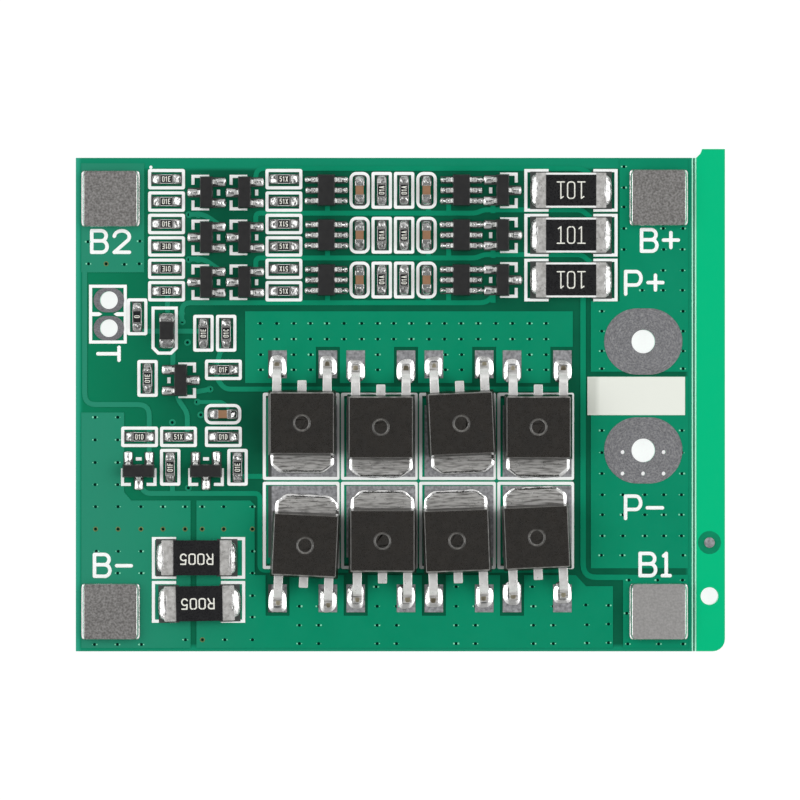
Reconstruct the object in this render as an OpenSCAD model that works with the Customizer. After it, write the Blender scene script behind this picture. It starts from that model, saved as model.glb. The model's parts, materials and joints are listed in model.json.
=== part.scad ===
// Battery management board: a three-cell protection and balance board, populated on its
// top side, with the rail of the production panel still joined along its right edge.
// Lengths are in millimetres. The pieces are drawn from the board's lower left corner, and
// the finished part has its origin at the middle of the outline, on the underside.
// +X runs along the board, +Y up the board and +Z out of the populated side.

/* [Board] */
// Length of the board, without its rail
board_l = 56; // [56:0.5:62]
// Width of the board
board_w = 44.7; // [44.7:0.5:50]
// Thickness of the laminate
board_t = 1.2; // [1:0.1:2]
// Width of the break-off rail
rail_w = 2.8; // [2.6:0.1:5]
// How far the rail stands past the board's upper edge
rail_over = 0.8; // [0.5:0.1:3]
// Radius of the rail's free lower corner
rail_r = 1.1; // [0.4:0.1:2]
// Width of the scored groove between board and rail, at the surface
score_w = 0.4; // [0.2:0.05:0.6]
// Depth of the scored groove in each face
score_d = 0.35; // [0.1:0.05:0.4]
// Diameter of the tooling hole in the rail
tooling_d = 1.6; // [1:0.1:1.8]
// Height of the tooling hole's centre above the lower edge
tooling_y = 5; // [3:0.5:8]

/* [Copper and finish] */
// Thickness of the masked copper above the laminate
copper_t = 0.05; // [0.035:0.005:0.07]
// Thickness of a tinned land above the laminate
land_t = 0.08; // [0.08:0.01:0.12]
// Width of a masked track
track_w = 0.45; // [0.25:0.05:0.6]
// Width of a printed line
ink_w = 0.28; // [0.15:0.01:0.32]

/* [Terminals] */
// Diameter of the plated hole in each load land
load_hole_d = 2.13; // [1.5:0.1:3]
// Length of a load land
load_land_l = 7.08; // [6.2:0.1:7.6]
// Width of a load land
load_land_w = 6; // [4:0.1:6]
// Distance from the board's right edge to the middle of the load lands
load_inset = 4.6; // [4.3:0.1:5]
// Distance from the last channel's centre line down to the positive load hole
load_drop = 5.57; // [5.2:0.1:5.8]
// Distance between the two load holes
load_pitch = 9.86; // [9.8:0.02:10.2]
// Diameter of the small open vias in the negative load land
vent_d = 0.36; // [0.2:0.02:0.5]
// Diameter of the two plated holes of the temperature sensor
sensor_hole_d = 1.6; // [0.9:0.1:1.8]
// Distance between the two sensor holes
sensor_pitch = 2.54; // [2.5:0.02:2.6]
// Length of a sensor land
sensor_land_l = 2.77; // [2.2:0.1:2.9]
// Width of a sensor land
sensor_land_w = 2.2; // [2:0.1:2.2]
// Length of a welded cell plate
plate_l = 4.75; // [4:0.05:5]
// Width of a welded cell plate
plate_w = 4.96; // [4:0.05:5.1]
// Thickness of a welded cell plate
plate_t = 0.5; // [0.2:0.05:1]
// Corner radius of a welded cell plate
plate_r = 0.25; // [0.1:0.05:0.6]

/* [Channel rows] */
// Distance between the three cell channels
row_pitch = 4.06; // [4.02:0.01:4.2]
// Distance from the board's upper edge to the first channel's centre line
row_inset = 2.95; // [2.9:0.05:3]

/* [Power transistors] */
// Distance between neighbouring power transistors
power_pitch = 7.08; // [7.02:0.02:7.1]
// Width of a power transistor's moulded body
power_w = 6.15; // [6:0.05:6.4]
// Length of a power transistor's moulded body
power_l = 5.9; // [5.8:0.05:6.1]
// Height of a power transistor's moulded body
power_h = 2.3; // [1.8:0.05:2.6]
// Width of the heat tab
tab_w = 5.2; // [4.4:0.1:5.6]
// How far the heat tab stands out of the body
tab_out = 1.35; // [1:0.05:1.5]
// Thickness of the copper lead frame
frame_t = 0.5; // [0.4:0.02:0.55]
// Distance between the leads
lead_pitch = 2.28; // [2.2:0.01:2.3]
// Width of a lead
lead_w = 0.8; // [0.6:0.02:0.9]
// Height at which the leads leave the body
lead_rise = 1; // [0.8:0.05:1.1]

/* [Small parts] */
// Length of a small chip resistor or capacitor
chip_l = 1.6; // [1.5:0.05:1.7]
// Width of a small chip resistor or capacitor
chip_w = 0.8; // [0.7:0.05:0.85]
// Height of a small chip resistor
chip_h = 0.45; // [0.35:0.05:0.6]
// Height of a small chip capacitor
capacitor_h = 0.8; // [0.5:0.05:0.9]
// Length of a large chip resistor
large_l = 6.35; // [6:0.05:6.4]
// Width of a large chip resistor
large_w = 3.16; // [2.9:0.05:3.2]
// Height of a large chip resistor
large_h = 0.6; // [0.5:0.05:0.9]
// Length of a small transistor's body
small_l = 2.9; // [2.8:0.05:3]
// Width of a three-lead transistor's body
sot3_w = 1.2; // [1.1:0.05:1.4]
// Width of a six-lead circuit's body
sot6_w = 1.6; // [1.5:0.05:1.7]
// Height of a small transistor's body
small_h = 1.05; // [0.8:0.05:1.2]

/* [Hidden] */
$fn = 48;
CHANNELS = 3;
POWER_COLUMNS = 4;

// Finish levels: everything that is soldered stands at seat_z, and the ink ends there too.
seat_z = board_t + land_t;
panel_l = board_l + rail_w;
panel_w = board_w + rail_over;
overcut = 1;
rail_neck = [0.35, 0.2];

// The layout is drawn in hundredths of the way from the left to the right cell plates across,
// and from the lower cell plates to the last channel row upwards, so it spreads with the board.
plate_left_x = 3.15;
plate_right_inset = 3.2;
plate_bottom_y = 3.6;
HUNDREDTHS = 100;
function across(part) =
    plate_left_x + part * (board_l - plate_right_inset - plate_left_x) / HUNDREDTHS;
function upward(part) =
    plate_bottom_y + part * (row_y(CHANNELS - 1) - plate_bottom_y) / HUNDREDTHS;
function spread(p) = [across(p[0]), upward(p[1])];
function spread_all(points) = [for (p = points) spread(p)];
function turned(points, angle) = [for (p = points) [p[0], p[1], angle]];

// Columns of the channel rows, on the grid
ladder_x = across(10.21);
driver_x = across(17.52);
switch_x = across(24.47);
filter_x = across(31.62);
monitor_in_x = across(39.38);
capacitor_in_x = across(45.44);
pull_x = [across(49.47), across(53.55)];
capacitor_out_x = across(57.64);
monitor_out_x = across(64.01);
bleed_x = across(71.52);
balance_x = across(83.99);
// The three-lead parts sit a little below their row
sot3_drop = 0.2;
bus_rise = 2;

// Power transistors: a row above and a row below the line through their heat tabs
power_x = across(56.44) - (POWER_COLUMNS - 1) / 2 * power_pitch;
power_right = power_x + (POWER_COLUMNS - 1) * power_pitch;
power_y = upward(39.29);
power_row = 5.05;
// Where each one came to rest in its solder: shift along X and Y, and turn in degrees
power_shift = [
    [-0.05, 0.25], [0, -0.13], [0.19, 0.2], [0.08, -0.13],
    [0.24, -0.71], [0.15, -0.32], [-0.2, -0.3], [-0.08, 0],
];
power_turn = [0, 0, 2.5, 0, -2.6, 0, 2, 2.5];
power_parting = 0.9;
power_draft = 0.2;
power_mark_d = 1.4;
power_mark_depth = 0.06;
tab_chamfer = [0.75, 0.6];
power_foot_pad = [1.68, 2.52];
power_foot_y = 5.55;
power_tab_pad = [6.24, 6.5];
power_tab_edge = 4.65;
lead_knee = 1.15;
lead_heel = 1.9;
lead_tip = 2.7;
stub_out = 0.9;
lead_hold = 0.6;
// How much of the shortest straight next to a bend the bend takes up
bend_share = 0.48;
bend_steps = 3;

// Cell plates and their places from the nearest edges
plate_solder_t = 0.1;
plate_land = [5.34, 5.08];
plate_land_r = 0.4;
plate_climb = 0.8;
plate_top_inset = 3.6;
plate_b2_drop = 0.1;

sensor_x = 3;
sensor_holes_y = [upward(85.48), upward(85.48) + sensor_pitch];
load_x = board_l - load_inset;
load_plus_y = row_y(CHANNELS - 1) - load_drop;
load_minus_y = load_plus_y - load_pitch;
load_y = [load_minus_y, load_plus_y];
vent_step = [1.86, 1.94];
vent_row = -0.16;
tooling_x = board_l + rail_w / 2;
fiducial_d = 0.95;
fiducial_y = 9.85;

// Small chips: [x, y, turn]
chip_wrap = 0.3;
chip_skin = 0.04;
glaze_t = 0.07;
glaze_margin = 0.08;
chip_pad = [0.97, 0.93];
chip_pad_x = 0.89;
chip_frame = [3.34, 1.85];
chip_frame_r = 0.16;
capacitor_wrap = 0.4;
capacitor_frame_r = 0.62;
large_wrap = 0.9;
large_glaze_w = 2.8;
large_pad = [1.85, 3.4];
large_pad_x = 2.77;
large_frame = [8.45, 3.86];
large_arm = 2.2;
shunt_wrap = 1.08;
shunt_turn = 1;
shunt_places = [[across(15.71), 8.48, 0], [across(16.21), 4.34, shunt_turn]];
shunt_frame_x = across(16.05);
shunt_frame_y = [8.46, 4.48];
shunt_frame = [8.45, 3.78];
diode_place = [across(10.27), upward(84.75), 90];
diode_size = [2.2, 1.26, 0.85];
diode_wrap = 0.3;
diode_pad = [0.85, 1.45];
diode_pad_x = 1.13;
diode_frame = [4.36, 2.38];
diode_frame_off = [0, 0.2];
diode_chamfer = 0.55;
diode_end_drop = 0.1;

sot_draft = 0.09;
sot_parting = 0.55;
sot_standoff = 0.08;
sot_lead = [0.42, 0.16];
sot_foot = 0.45;
sot3_span = 2.4;
sot6_span = 2.8;
sot_pad_l = 1.1;
sot3_pad_w = 0.85;
sot6_pad_w = 0.62;
sot_pad_heel = 0.62;
sot3_pitch = 1.9;
sot6_pitch = 0.95;
sot_hold = 0.25;
sot_knee = 0.12;

// Solder
fillet_lip = 0.03;
fillet_run = 0.42;
large_fillet_run = 0.55;
resistor_climb = 0.85;
capacitor_climb = 0.6;
diode_climb = 0.47;
large_climb = 0.9;
bank_h = 0.24;
bank_heel = 0.1;
bank_margin = 0.04;
mound_l = 2;
mound_h = 0.62;
mound_taper = 0.55;
solder_margin = 0.06;
rim_w = 0.24;
rim_h = 0.26;
arc_steps = 5;
frame_steps = 2;

// Ink around a three-lead part: two brackets and a dash, from the part's middle
mark_reach = 1.47;
mark_bar = [1.6, -0.57];
mark_tail = [0.9, -1.23, 1.16];
mark_dash = [0.3, 0.54];
mark_dash_x = 1.08;
sensor_mark_at = [sensor_x - 0.09, (sensor_holes_y[0] + sensor_holes_y[1]) / 2];
sensor_frame = [3.42, 5.33];
// Waist between the two sensor holes: half height, straight length, length to the point
sensor_waist = [0.18, 0.9, 1.2];
power_frame = [6.95, 7.9];
power_frame_r = 0.15;
power_frame_at = [-0.14, 0.04, 4.03];
load_middle_y = (load_minus_y + load_plus_y) / 2;
load_block_w = 3.47;
load_block = [[board_l - 9.66, load_middle_y - load_block_w / 2],
              [board_l - 0.82, load_middle_y + load_block_w / 2]];

// Poured copper, each area as [lower left corner, upper right corner] or as an outline
edge_gap = 0.5;
low_gap = 0.3;
load_pour_x = board_l - 9.35;
b2_pour = [[edge_gap, row_y(2) + 0.7], [across(6.14), board_w - edge_gap]];
b_plus_pour = [[board_l - 6.75, load_plus_y + 3.64], [board_l - edge_gap, board_w - 0.2]];
load_plus_pour = [[load_pour_x, load_middle_y + 2.2], [board_l - edge_gap, load_plus_y + 3.65]];
load_minus_pour = [[load_pour_x, 7.52], [board_l - edge_gap, load_middle_y + 1.77]];
b1_pour = [[board_l - 6.43, low_gap], [board_l - edge_gap, 6.93]];
drain_pour = [[power_x - 3.3, power_y - 7.45], [power_right + 3.1, power_y + 7.5]];
load_side_pour = [[power_x - 5.22, power_y + 8.9], [power_right + 3.23, power_y + 15.4]];
shunt_split = across(14.6);
b_minus_pour = [[edge_gap, low_gap], [shunt_split, low_gap], [shunt_split, upward(33.5)],
                spread([3.77, 33.5]), spread([2.48, 36]), spread([2.48, 60.04]),
                [edge_gap, upward(60.04)]];
source_top = power_y - 8.5;
source_left = power_x - 4.35;
source_pour = [[shunt_split + 0.53, low_gap], [board_l - 7.34, low_gap], [board_l - 7.34, 5.9],
               [power_right + 4.42, 5.9], [power_right + 3.5, source_top], [source_left, source_top],
               [source_left, upward(32.13)], [source_left - 0.4, upward(33.5)],
               [shunt_split + 0.53, upward(33.5)]];
gate_gap = [2.16, 3.75];
gate_gap_shift = 0.3;

// Masked tracks: the points each one runs through, and the radius of its bends
track_bend = 1;
bus_left = across(26.49);
bus_right = across(88.12);
stub_x = [across(39.58), across(57.97), across(61.69), across(69.79)];
stub_l = 0.9;
gate_bus_y = [power_y - 8.05, power_y + 8.35];
gate_stub_y = [gate_bus_y[0] - 1.35, gate_bus_y[1] + 1.25];
gate_bus_end = power_right + 2.8;
top_track = [[bus_left, row_y(0) + 0.75], [bus_left, bus_y(0)], [bus_right - 0.9, bus_y(0)],
             [bus_right, bus_y(0) - 0.8]];
function row_track(y) = [[bus_left, y - 1.2], [bus_left, y], [across(66.77), y], [across(67.98), y + 0.3],
                         [bus_right - 1.1, y + 0.3], [bus_right, y - 0.6]];
function driver_track(y) = [[across(14.3), y - 0.1], [across(17.02), y - 0.1], [across(19.64), y - 1]];
bus_bend = 0.8;
row_bend = 0.4;
driver_bend = 0.6;
last_bus_y = bus_y(CHANNELS);
lower_bus = [spread([12.99, 87.45]), [across(12.99), last_bus_y], [across(68.98), last_bus_y],
             [across(69.99), last_bus_y + 0.9]];
wide_bends = [
    [[0.8, row_y(2) + 0.7], [0.8, upward(62.44)], spread([7.05, 62.44]), spread([7.05, 46.62])],
    spread_all([[11.38, 81.25], [11.38, 73.26]]),
    [spread([10.37, 89.24]), [across(10.37), last_bus_y + 1]],
    spread_all([[4.87, 84.58], [16.62, 84.58]]),
    spread_all([[20.54, 80.92], [19.34, 74.59]]),
    spread_all([[15.61, 66.27], [18.13, 67.07]]),
    spread_all([[11.28, 35.63], [11.28, 39.96]]),
    spread_all([[23.16, 40.79], [28.7, 40.79]]),
];
tight_bend = 0.5;
tight_bends = [
    spread_all([[12.19, 66.6], [12.19, 64.27], [14, 59.94], [14, 53.28]]),
    [spread([19.34, 72.59]), spread([19.34, 70.26]), [across(20.85), gate_bus_y[1]],
     [gate_bus_end, gate_bus_y[1]]],
    [spread([5.14, 38.63]), spread([6.34, 35.63]), [source_left + 0.48, upward(35.63)],
     [source_left + 0.48, gate_bus_y[0]], [gate_bus_end, gate_bus_y[0]]],
];
fine_track_w = 0.35;
fine_bend = 0.3;
fine_track = spread_all([[15.81, 63.2], [20.44, 63.2], [21.65, 61.27]]);
return_track_w = 0.5;
return_bend = 1.2;
return_x = load_pour_x - 0.7;
return_track = [[return_x, last_bus_y + 1.4], [return_x, 6.7], [board_l - 6, 6.7]];

function row_y(i) = board_w - row_inset - i * row_pitch;
function bus_y(i) = row_y(i) + bus_rise;
function rows() = [for (i = [0:CHANNELS - 1]) i];
function half_rows() =
    [for (i = [0:2 * CHANNELS - 1]) row_y(0) + row_pitch / 4 - i * row_pitch / 2];

upright_resistors = [[4.85, 88.91], [16.94, 83.95], [21.09, 83.95], [6.75, 70.33], [10.88, 43.52],
                     [23.16, 43.52]];
level_resistors = [[20.58, 72.93], [5.3, 52.71], [12.39, 52.71], [20.58, 52.71]];
level_capacitor = [20.48, 59.54];
watch_transistor = [12.83, 69.76];
upright_transistors = [[5.14, 42.46], [17.42, 42.46]];
chip_resistors = concat(
    [for (x = [ladder_x, filter_x], y = half_rows()) [x, y, 0]],
    [for (x = pull_x, i = rows()) [x, row_y(i), 90]],
    turned(spread_all(upright_resistors), 90), turned(spread_all(level_resistors), 0));
capacitors = concat(
    [for (x = [capacitor_in_x, capacitor_out_x], i = rows()) [x, row_y(i), 90]],
    turned([spread(level_capacitor)], 0));
balance_resistors = [for (i = rows()) [balance_x, row_y(i), 0]];
three_leads = concat(
    [for (x = [driver_x, switch_x], i = rows()) [x, row_y(i) - sot3_drop, 0]],
    [for (i = rows()) [bleed_x, row_y(i), 180]],
    turned([spread(watch_transistor)], 180), turned(spread_all(upright_transistors), 90));
six_leads = [for (x = [monitor_in_x, monitor_out_x], i = rows()) [x, row_y(i), 0]];
cell_plates = [
    [plate_left_x, board_w - plate_top_inset - plate_b2_drop],
    [board_l - plate_right_inset, board_w - plate_top_inset],
    [plate_left_x, plate_bottom_y], [board_l - plate_right_inset, plate_bottom_y],
];
plate_names = ["b2", "b_plus", "b_minus", "b1"];

// Nominal place of power transistor k: the upper row first, with its leads up
function power_up(k) = k < POWER_COLUMNS;
function power_pad_x(k) = power_x + (k % POWER_COLUMNS) * power_pitch;
function power_side(k) = power_up(k) ? 1 : -1;
function power_pad_y(k) = power_y + power_side(k) * power_row;

function arc(centre, r, from, to, steps = arc_steps) =
    [for (s = [0:steps]) let (a = from + (to - from) * s / steps) centre + r * [cos(a), sin(a)]];
function rounded_box(size, r, steps = arc_steps) = let (x = size[0] / 2 - r, y = size[1] / 2 - r) concat(
    arc([x, y], r, 0, 90, steps), arc([-x, y], r, 90, 180, steps),
    arc([-x, -y], r, 180, 270, steps), arc([x, -y], r, 270, 360, steps));
function span(from, to) = [for (i = [from:to]) i];

// A path with its corners rounded, then widened to a ribbon
function unit(v) = v / norm(v);
function corner(a, b, c, r, steps) = let (u = unit(a - b) * r, v = unit(c - b) * r)
    [for (s = [0:steps]) let (t = s / steps) b + (1 - t) * (1 - t) * u + t * t * v];
function rounded_path(p, r, steps) = len(p) < 3 ? p :
    concat([p[0]], [for (i = [1:len(p) - 2]) each corner(p[i - 1], p[i], p[i + 1], r, steps)],
           [p[len(p) - 1]]);
function beside(p, i, w) = let (h = unit(p[min(i + 1, len(p) - 1)] - p[max(i - 1, 0)]))
    p[i] + w / 2 * [-h[1], h[0]];

module track(points, w = track_w, r = track_bend, steps = arc_steps) {
    p = rounded_path(points, r, steps);
    polygon([for (i = span(0, len(p) - 1)) beside(p, i, w), for (i = [len(p) - 1:-1:0]) beside(p, i, -w)]);
}

module area(corners) {
    translate(corners[0]) square(corners[1] - corners[0]);
}

module stadium(l, w) {
    square([l - w, w], center = true);
    for (side = [-1, 1]) translate([side * (l - w) / 2, 0]) circle(d = w);
}

module at(place) {
    translate([place[0], place[1], 0]) rotate(place[2]) children();
}

module on_lands() {
    translate([-panel_l / 2, -panel_w / 2, seat_z]) children();
}

module on_board() {
    translate([-panel_l / 2, -panel_w / 2, 0]) children();
}

// ---------------------------------------------------------------- board

module panel_outline() {
    foot = board_l + score_w;
    polygon(concat(
        [[0, 0]], arc([panel_l - rail_r, rail_r], rail_r, 270, 360),
        [[panel_l, panel_w], [foot + rail_neck[0], panel_w], [foot + rail_neck[1], panel_w - rail_over / 2],
         [board_l + score_w / 2, board_w], [0, board_w]]));
}

module score_groove() {
    for (face = [0, 1])
        translate([board_l, panel_w + overcut, face * board_t])
            rotate([90, 0, 0])
                linear_extrude(panel_w + 2 * overcut)
                    mirror([0, 1 - face])
                        polygon([[-score_w, score_d], [score_w, score_d], [0, -score_d]]);
}

module load_holes(d) {
    for (y = load_y) translate([load_x, y]) circle(d = d);
}

module sensor_holes(d) {
    for (y = sensor_holes_y) translate([sensor_x, y]) circle(d = d);
}

module vents() {
    for (i = [-1:1], j = [0, 1])
        if (i != 0 || j != 0)
            translate([load_x + i * vent_step[0], load_minus_y + vent_row - j * vent_step[1]])
                circle(d = vent_d);
}

module load_lands() {
    for (y = load_y) translate([load_x, y]) stadium(load_land_l, load_land_w);
}

module sensor_lands() {
    for (y = sensor_holes_y) translate([sensor_x, y]) stadium(sensor_land_l, sensor_land_w);
}

module board() {
    color("darkgreen") on_board() difference() {
        linear_extrude(board_t) difference() {
            panel_outline();
            load_holes(load_hole_d);
            sensor_holes(sensor_hole_d);
            vents();
            translate([tooling_x, tooling_y]) circle(d = tooling_d);
        }
        // the lands of the plated holes are let into the underside
        translate([0, 0, -overcut]) linear_extrude(overcut + copper_t) {
            load_lands();
            sensor_lands();
        }
        score_groove();
    }
}

// A plated hole's two lands: one on the top side, and one let flush into the underside
module land_pair() {
    translate([0, 0, board_t]) linear_extrude(land_t) children();
    linear_extrude(copper_t) children();
}

module load_land(y) {
    color("dimgray") on_board() land_pair() difference() {
        translate([load_x, y]) stadium(load_land_l, load_land_w);
        load_holes(load_hole_d);
        vents();
    }
}

module load_minus_land() {
    load_land(load_minus_y);
}

module load_plus_land() {
    load_land(load_plus_y);
}

module sensor_land(i) {
    color("dimgray") on_board() land_pair() difference() {
        translate([sensor_x, sensor_holes_y[i]]) stadium(sensor_land_l, sensor_land_w);
        sensor_holes(sensor_hole_d);
    }
}

// ---------------------------------------------------------------- lands, copper and ink

module pads(places, size, offset_x) {
    for (p = places, side = [-1, 1]) at(p) translate([side * offset_x, 0]) square(size, center = true);
}

module lead_pads(places, half_span, w, rows) {
    for (p = places, r = rows)
        at(p) translate([r[0] * (half_span - sot_pad_heel + sot_pad_l / 2), r[1]])
            square([sot_pad_l, w], center = true);
}

// Side and height of each lead across the body
sot3_rows = [[-1, 0], [1, sot3_pitch / 2], [1, -sot3_pitch / 2]];
sot6_rows = [for (side = [-1, 1], i = [-1:1]) [side, i * sot6_pitch]];

module power_foot_pads(k) {
    for (side = [-1, 1])
        translate([power_pad_x(k) + side * lead_pitch, power_pad_y(k) + power_side(k) * power_foot_y])
            square(power_foot_pad, center = true);
}

module power_tab_pad(k) {
    translate([power_pad_x(k), power_pad_y(k) - power_side(k) * (power_tab_edge - power_tab_pad[1] / 2)])
        square(power_tab_pad, center = true);
}

module small_lands() {
    pads(chip_resistors, chip_pad, chip_pad_x);
    pads(capacitors, chip_pad, chip_pad_x);
    pads(balance_resistors, large_pad, large_pad_x);
    pads(shunt_places, large_pad, large_pad_x);
    pads([diode_place], diode_pad, diode_pad_x);
    lead_pads(three_leads, sot3_span / 2, sot3_pad_w, sot3_rows);
    lead_pads(six_leads, sot6_span / 2, sot6_pad_w, sot6_rows);
    for (k = span(0, 2 * POWER_COLUMNS - 1)) {
        power_foot_pads(k);
        power_tab_pad(k);
    }
    for (p = cell_plates) translate(p) polygon(rounded_box(plate_land, plate_land_r));
}

module tinned_lands() {
    color("gray") on_board() translate([0, 0, board_t]) linear_extrude(land_t) {
        small_lands();
        translate([tooling_x, fiducial_y]) circle(d = fiducial_d);
    }
}

module gate_clearance(k) {
    side = power_side(k);
    translate([power_pad_x(k) + side * lead_pitch, power_pad_y(k) + side * (power_foot_y - gate_gap_shift)])
        square(gate_gap, center = true);
}

module pours() {
    for (pour = [b2_pour, b_plus_pour, load_plus_pour, load_minus_pour, b1_pour, drain_pour]) area(pour);
    polygon(b_minus_pour);
    difference() {
        union() {
            polygon(source_pour);
            area(load_side_pour);
        }
        for (k = span(0, 2 * POWER_COLUMNS - 1)) gate_clearance(k);
    }
}

module tracks() {
    track(top_track, r = bus_bend);
    track(lower_bus, r = bus_bend);
    for (i = [1:CHANNELS - 1]) {
        track(row_track(bus_y(i)), r = row_bend);
        track(driver_track(bus_y(i)), r = driver_bend);
    }
    for (i = [1:CHANNELS], x = stub_x) track([[x, bus_y(i)], [x, bus_y(i) + stub_l]]);
    for (points = wide_bends) track(points);
    for (points = tight_bends) track(points, r = tight_bend);
    track(fine_track, w = fine_track_w, r = fine_bend);
    track(return_track, w = return_track_w, r = return_bend);
    for (k = span(0, POWER_COLUMNS - 1)) {
        track([for (y = [gate_stub_y[1], gate_bus_y[1]]) [power_pad_x(k) + lead_pitch, y]]);
        track([for (y = [gate_stub_y[0], gate_bus_y[0]]) [power_pad_x(k) - lead_pitch, y]]);
    }
}

module copper() {
    difference() {
        union() {
            pours();
            tracks();
        }
        small_lands();
        load_lands();
        sensor_lands();
    }
}

module masked_copper() {
    color("seagreen") on_board() translate([0, 0, board_t]) linear_extrude(copper_t) copper();
}

module frame(size, r, steps = arc_steps) {
    inner = [size[0] - 2 * ink_w, size[1] - 2 * ink_w];
    difference() {
        polygon(rounded_box(size, r, steps));
        polygon(rounded_box(inner, max(r - ink_w, r / 4), steps));
    }
}

// Corner brackets that leave the middle of a frame open
module brackets(size, arm) {
    difference() {
        square(size, center = true);
        square([size[0] - 2 * ink_w, size[1] - 2 * ink_w], center = true);
        square([size[0] - 2 * arm, size[1] + overcut], center = true);
    }
}

module transistor_mark() {
    for (side = [-1, 1]) {
        translate([mark_bar[1], side * mark_reach]) square([mark_bar[0], ink_w], center = true);
        translate([mark_tail[1], side * mark_tail[2]]) square([ink_w, mark_tail[0]], center = true);
    }
    translate([mark_dash_x, 0]) square(mark_dash, center = true);
}

// Outline of the diode's frame, with two corners cut; inset by the given distance
function diode_outline(inset) = let (x = diode_frame[0] / 2 - inset, y = diode_frame[1] / 2 - inset,
                                     cut = diode_chamfer - inset / 2)
    [[x, y], [cut - x, y], [-x, y - cut], [-x, cut - y], [cut - x, -y], [x, -y]];

module diode_mark() {
    translate(diode_frame_off) difference() {
        polygon(diode_outline(0));
        polygon(diode_outline(ink_w));
    }
}

module sensor_mark() {
    half = sensor_waist[0];
    translate(sensor_mark_at) {
        difference() {
            square(sensor_frame, center = true);
            square([sensor_frame[0] - 2 * ink_w, sensor_frame[1] - 2 * ink_w], center = true);
        }
        for (side = [0, 1]) mirror([side, 0]) translate([sensor_frame[0] / 2, 0])
            polygon([[-ink_w / 2, half], [-sensor_waist[1], half], [-sensor_waist[2], 0],
                     [-sensor_waist[1], -half], [-ink_w / 2, -half]]);
    }
}

module ink() {
    for (p = chip_resistors) at(p) frame(chip_frame, chip_frame_r, frame_steps);
    for (p = capacitors) at(p) frame(chip_frame, capacitor_frame_r);
    at(diode_place) diode_mark();
    for (p = three_leads) at(p) transistor_mark();
    for (p = balance_resistors) at(p) brackets(large_frame, large_arm);
    for (y = shunt_frame_y) translate([shunt_frame_x, y]) brackets(shunt_frame, large_arm);
    for (k = span(0, 2 * POWER_COLUMNS - 1))
        translate([power_pad_x(k) + power_frame_at[0],
                   power_y + power_frame_at[1] + power_side(k) * power_frame_at[2]])
            frame(power_frame, power_frame_r, frame_steps);
    sensor_mark();
    area(load_block);
}

// Ink bridges the step from the laminate up to the masked copper, ends level and keeps off the lands
module legend() {
    color("white") on_board() translate([0, 0, board_t]) difference() {
        linear_extrude(land_t) difference() {
            ink();
            small_lands();
            sensor_lands();
        }
        translate([0, 0, -overcut]) linear_extrude(overcut + copper_t) copper();
    }
}

// ---------------------------------------------------------------- cell plates

module plate_body() {
    translate([0, 0, plate_solder_t]) linear_extrude(plate_t)
        polygon(rounded_box([plate_l, plate_w], plate_r));
}

module cell_plate(i) {
    color("slategray") on_lands() translate(cell_plates[i]) plate_body();
}

// A concave solder fillet that climbs an end face standing at x = 0
module fillet(w, run, rise) {
    rotate([90, 0, 0]) linear_extrude(w, center = true)
        polygon(concat([[0, 0], [run, 0]], [for (s = [0:arc_steps]) let (a = 90 * s / arc_steps)
            [run - run * sin(a), rise + (fillet_lip - rise) * cos(a)]]));
}

module cell_plate_solder() {
    color("lightgray") on_lands() for (p = cell_plates) translate(p) {
        linear_extrude(plate_solder_t) square([plate_l, plate_w], center = true);
        for (side = [0, 1]) rotate(180 * side) translate([plate_l / 2, 0, 0])
            fillet(plate_land[1] - 2 * plate_land_r - solder_margin, (plate_land[0] - plate_l) / 2,
                   plate_solder_t + plate_t * plate_climb);
    }
}

// ---------------------------------------------------------------- moulded packages

function moulded_half(half, h, parting, draft) =
    [[draft / 2 - half, 0], [half - draft / 2, 0], [half, parting], [half - draft, h],
     [draft - half, h], [-half, parting]];

// A moulded block whose four sides lean in from the parting line to the top and bottom
module moulded(l, w, h, parting, draft) {
    intersection() {
        rotate([90, 0, 0]) linear_extrude(w + overcut, center = true)
            polygon(moulded_half(l / 2, h, parting, draft));
        rotate([90, 0, 90]) linear_extrude(l + overcut, center = true)
            polygon(moulded_half(w / 2, h, parting, draft));
    }
}

// A formed lead that runs along +X: flat out of the body, down to a foot on the land
module gull_lead(start, knee, heel, tip, w, t, rise) {
    bend = min(knee - start, norm([heel - knee, rise - t / 2]), tip - heel) * bend_share;
    rotate([90, 0, 0]) linear_extrude(w, center = true)
        track([[start, rise], [knee, rise], [heel, t / 2], [tip, t / 2]],
              w = t, r = bend, steps = bend_steps);
}

module at_power(k) {
    s = power_shift[k];
    translate([power_pad_x(k) + s[0], power_pad_y(k) + s[1], 0])
        rotate(power_turn[k] + (power_up(k) ? 0 : 180)) children();
}

module tab_outline(grow) {
    half = tab_w / 2 + grow;
    end = -power_l / 2 - tab_out - grow;
    polygon([[-half, 0], [-half, end + tab_chamfer[1]], [tab_chamfer[0] - half, end],
             [half - tab_chamfer[0], end], [half, end + tab_chamfer[1]], [half, 0]]);
}

module power_leads() {
    for (side = [-1, 1])
        translate([side * lead_pitch, 0, 0]) rotate(90)
            gull_lead(power_l / 2 - lead_hold, power_l / 2 + lead_knee, power_l / 2 + lead_heel,
                      power_l / 2 + lead_tip, lead_w, frame_t, lead_rise);
}

// Heat tab, two formed leads and the cropped middle lead
module power_frame_solid() {
    linear_extrude(frame_t) tab_outline(0);
    power_leads();
    translate([-lead_w / 2, power_l / 2 - lead_hold, lead_rise - frame_t / 2])
        cube([lead_w, lead_hold + stub_out, frame_t]);
}

module power_leadframe(k) {
    color("silver") on_lands() at_power(k) power_frame_solid();
}

module power_body(k) {
    color("#2d2c2a") on_lands() at_power(k) difference() {
        moulded(power_w, power_l, power_h, power_parting, power_draft);
        power_frame_solid();
        translate([0, 0, power_h - power_mark_depth]) cylinder(d = power_mark_d, h = overcut);
    }
}

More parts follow.
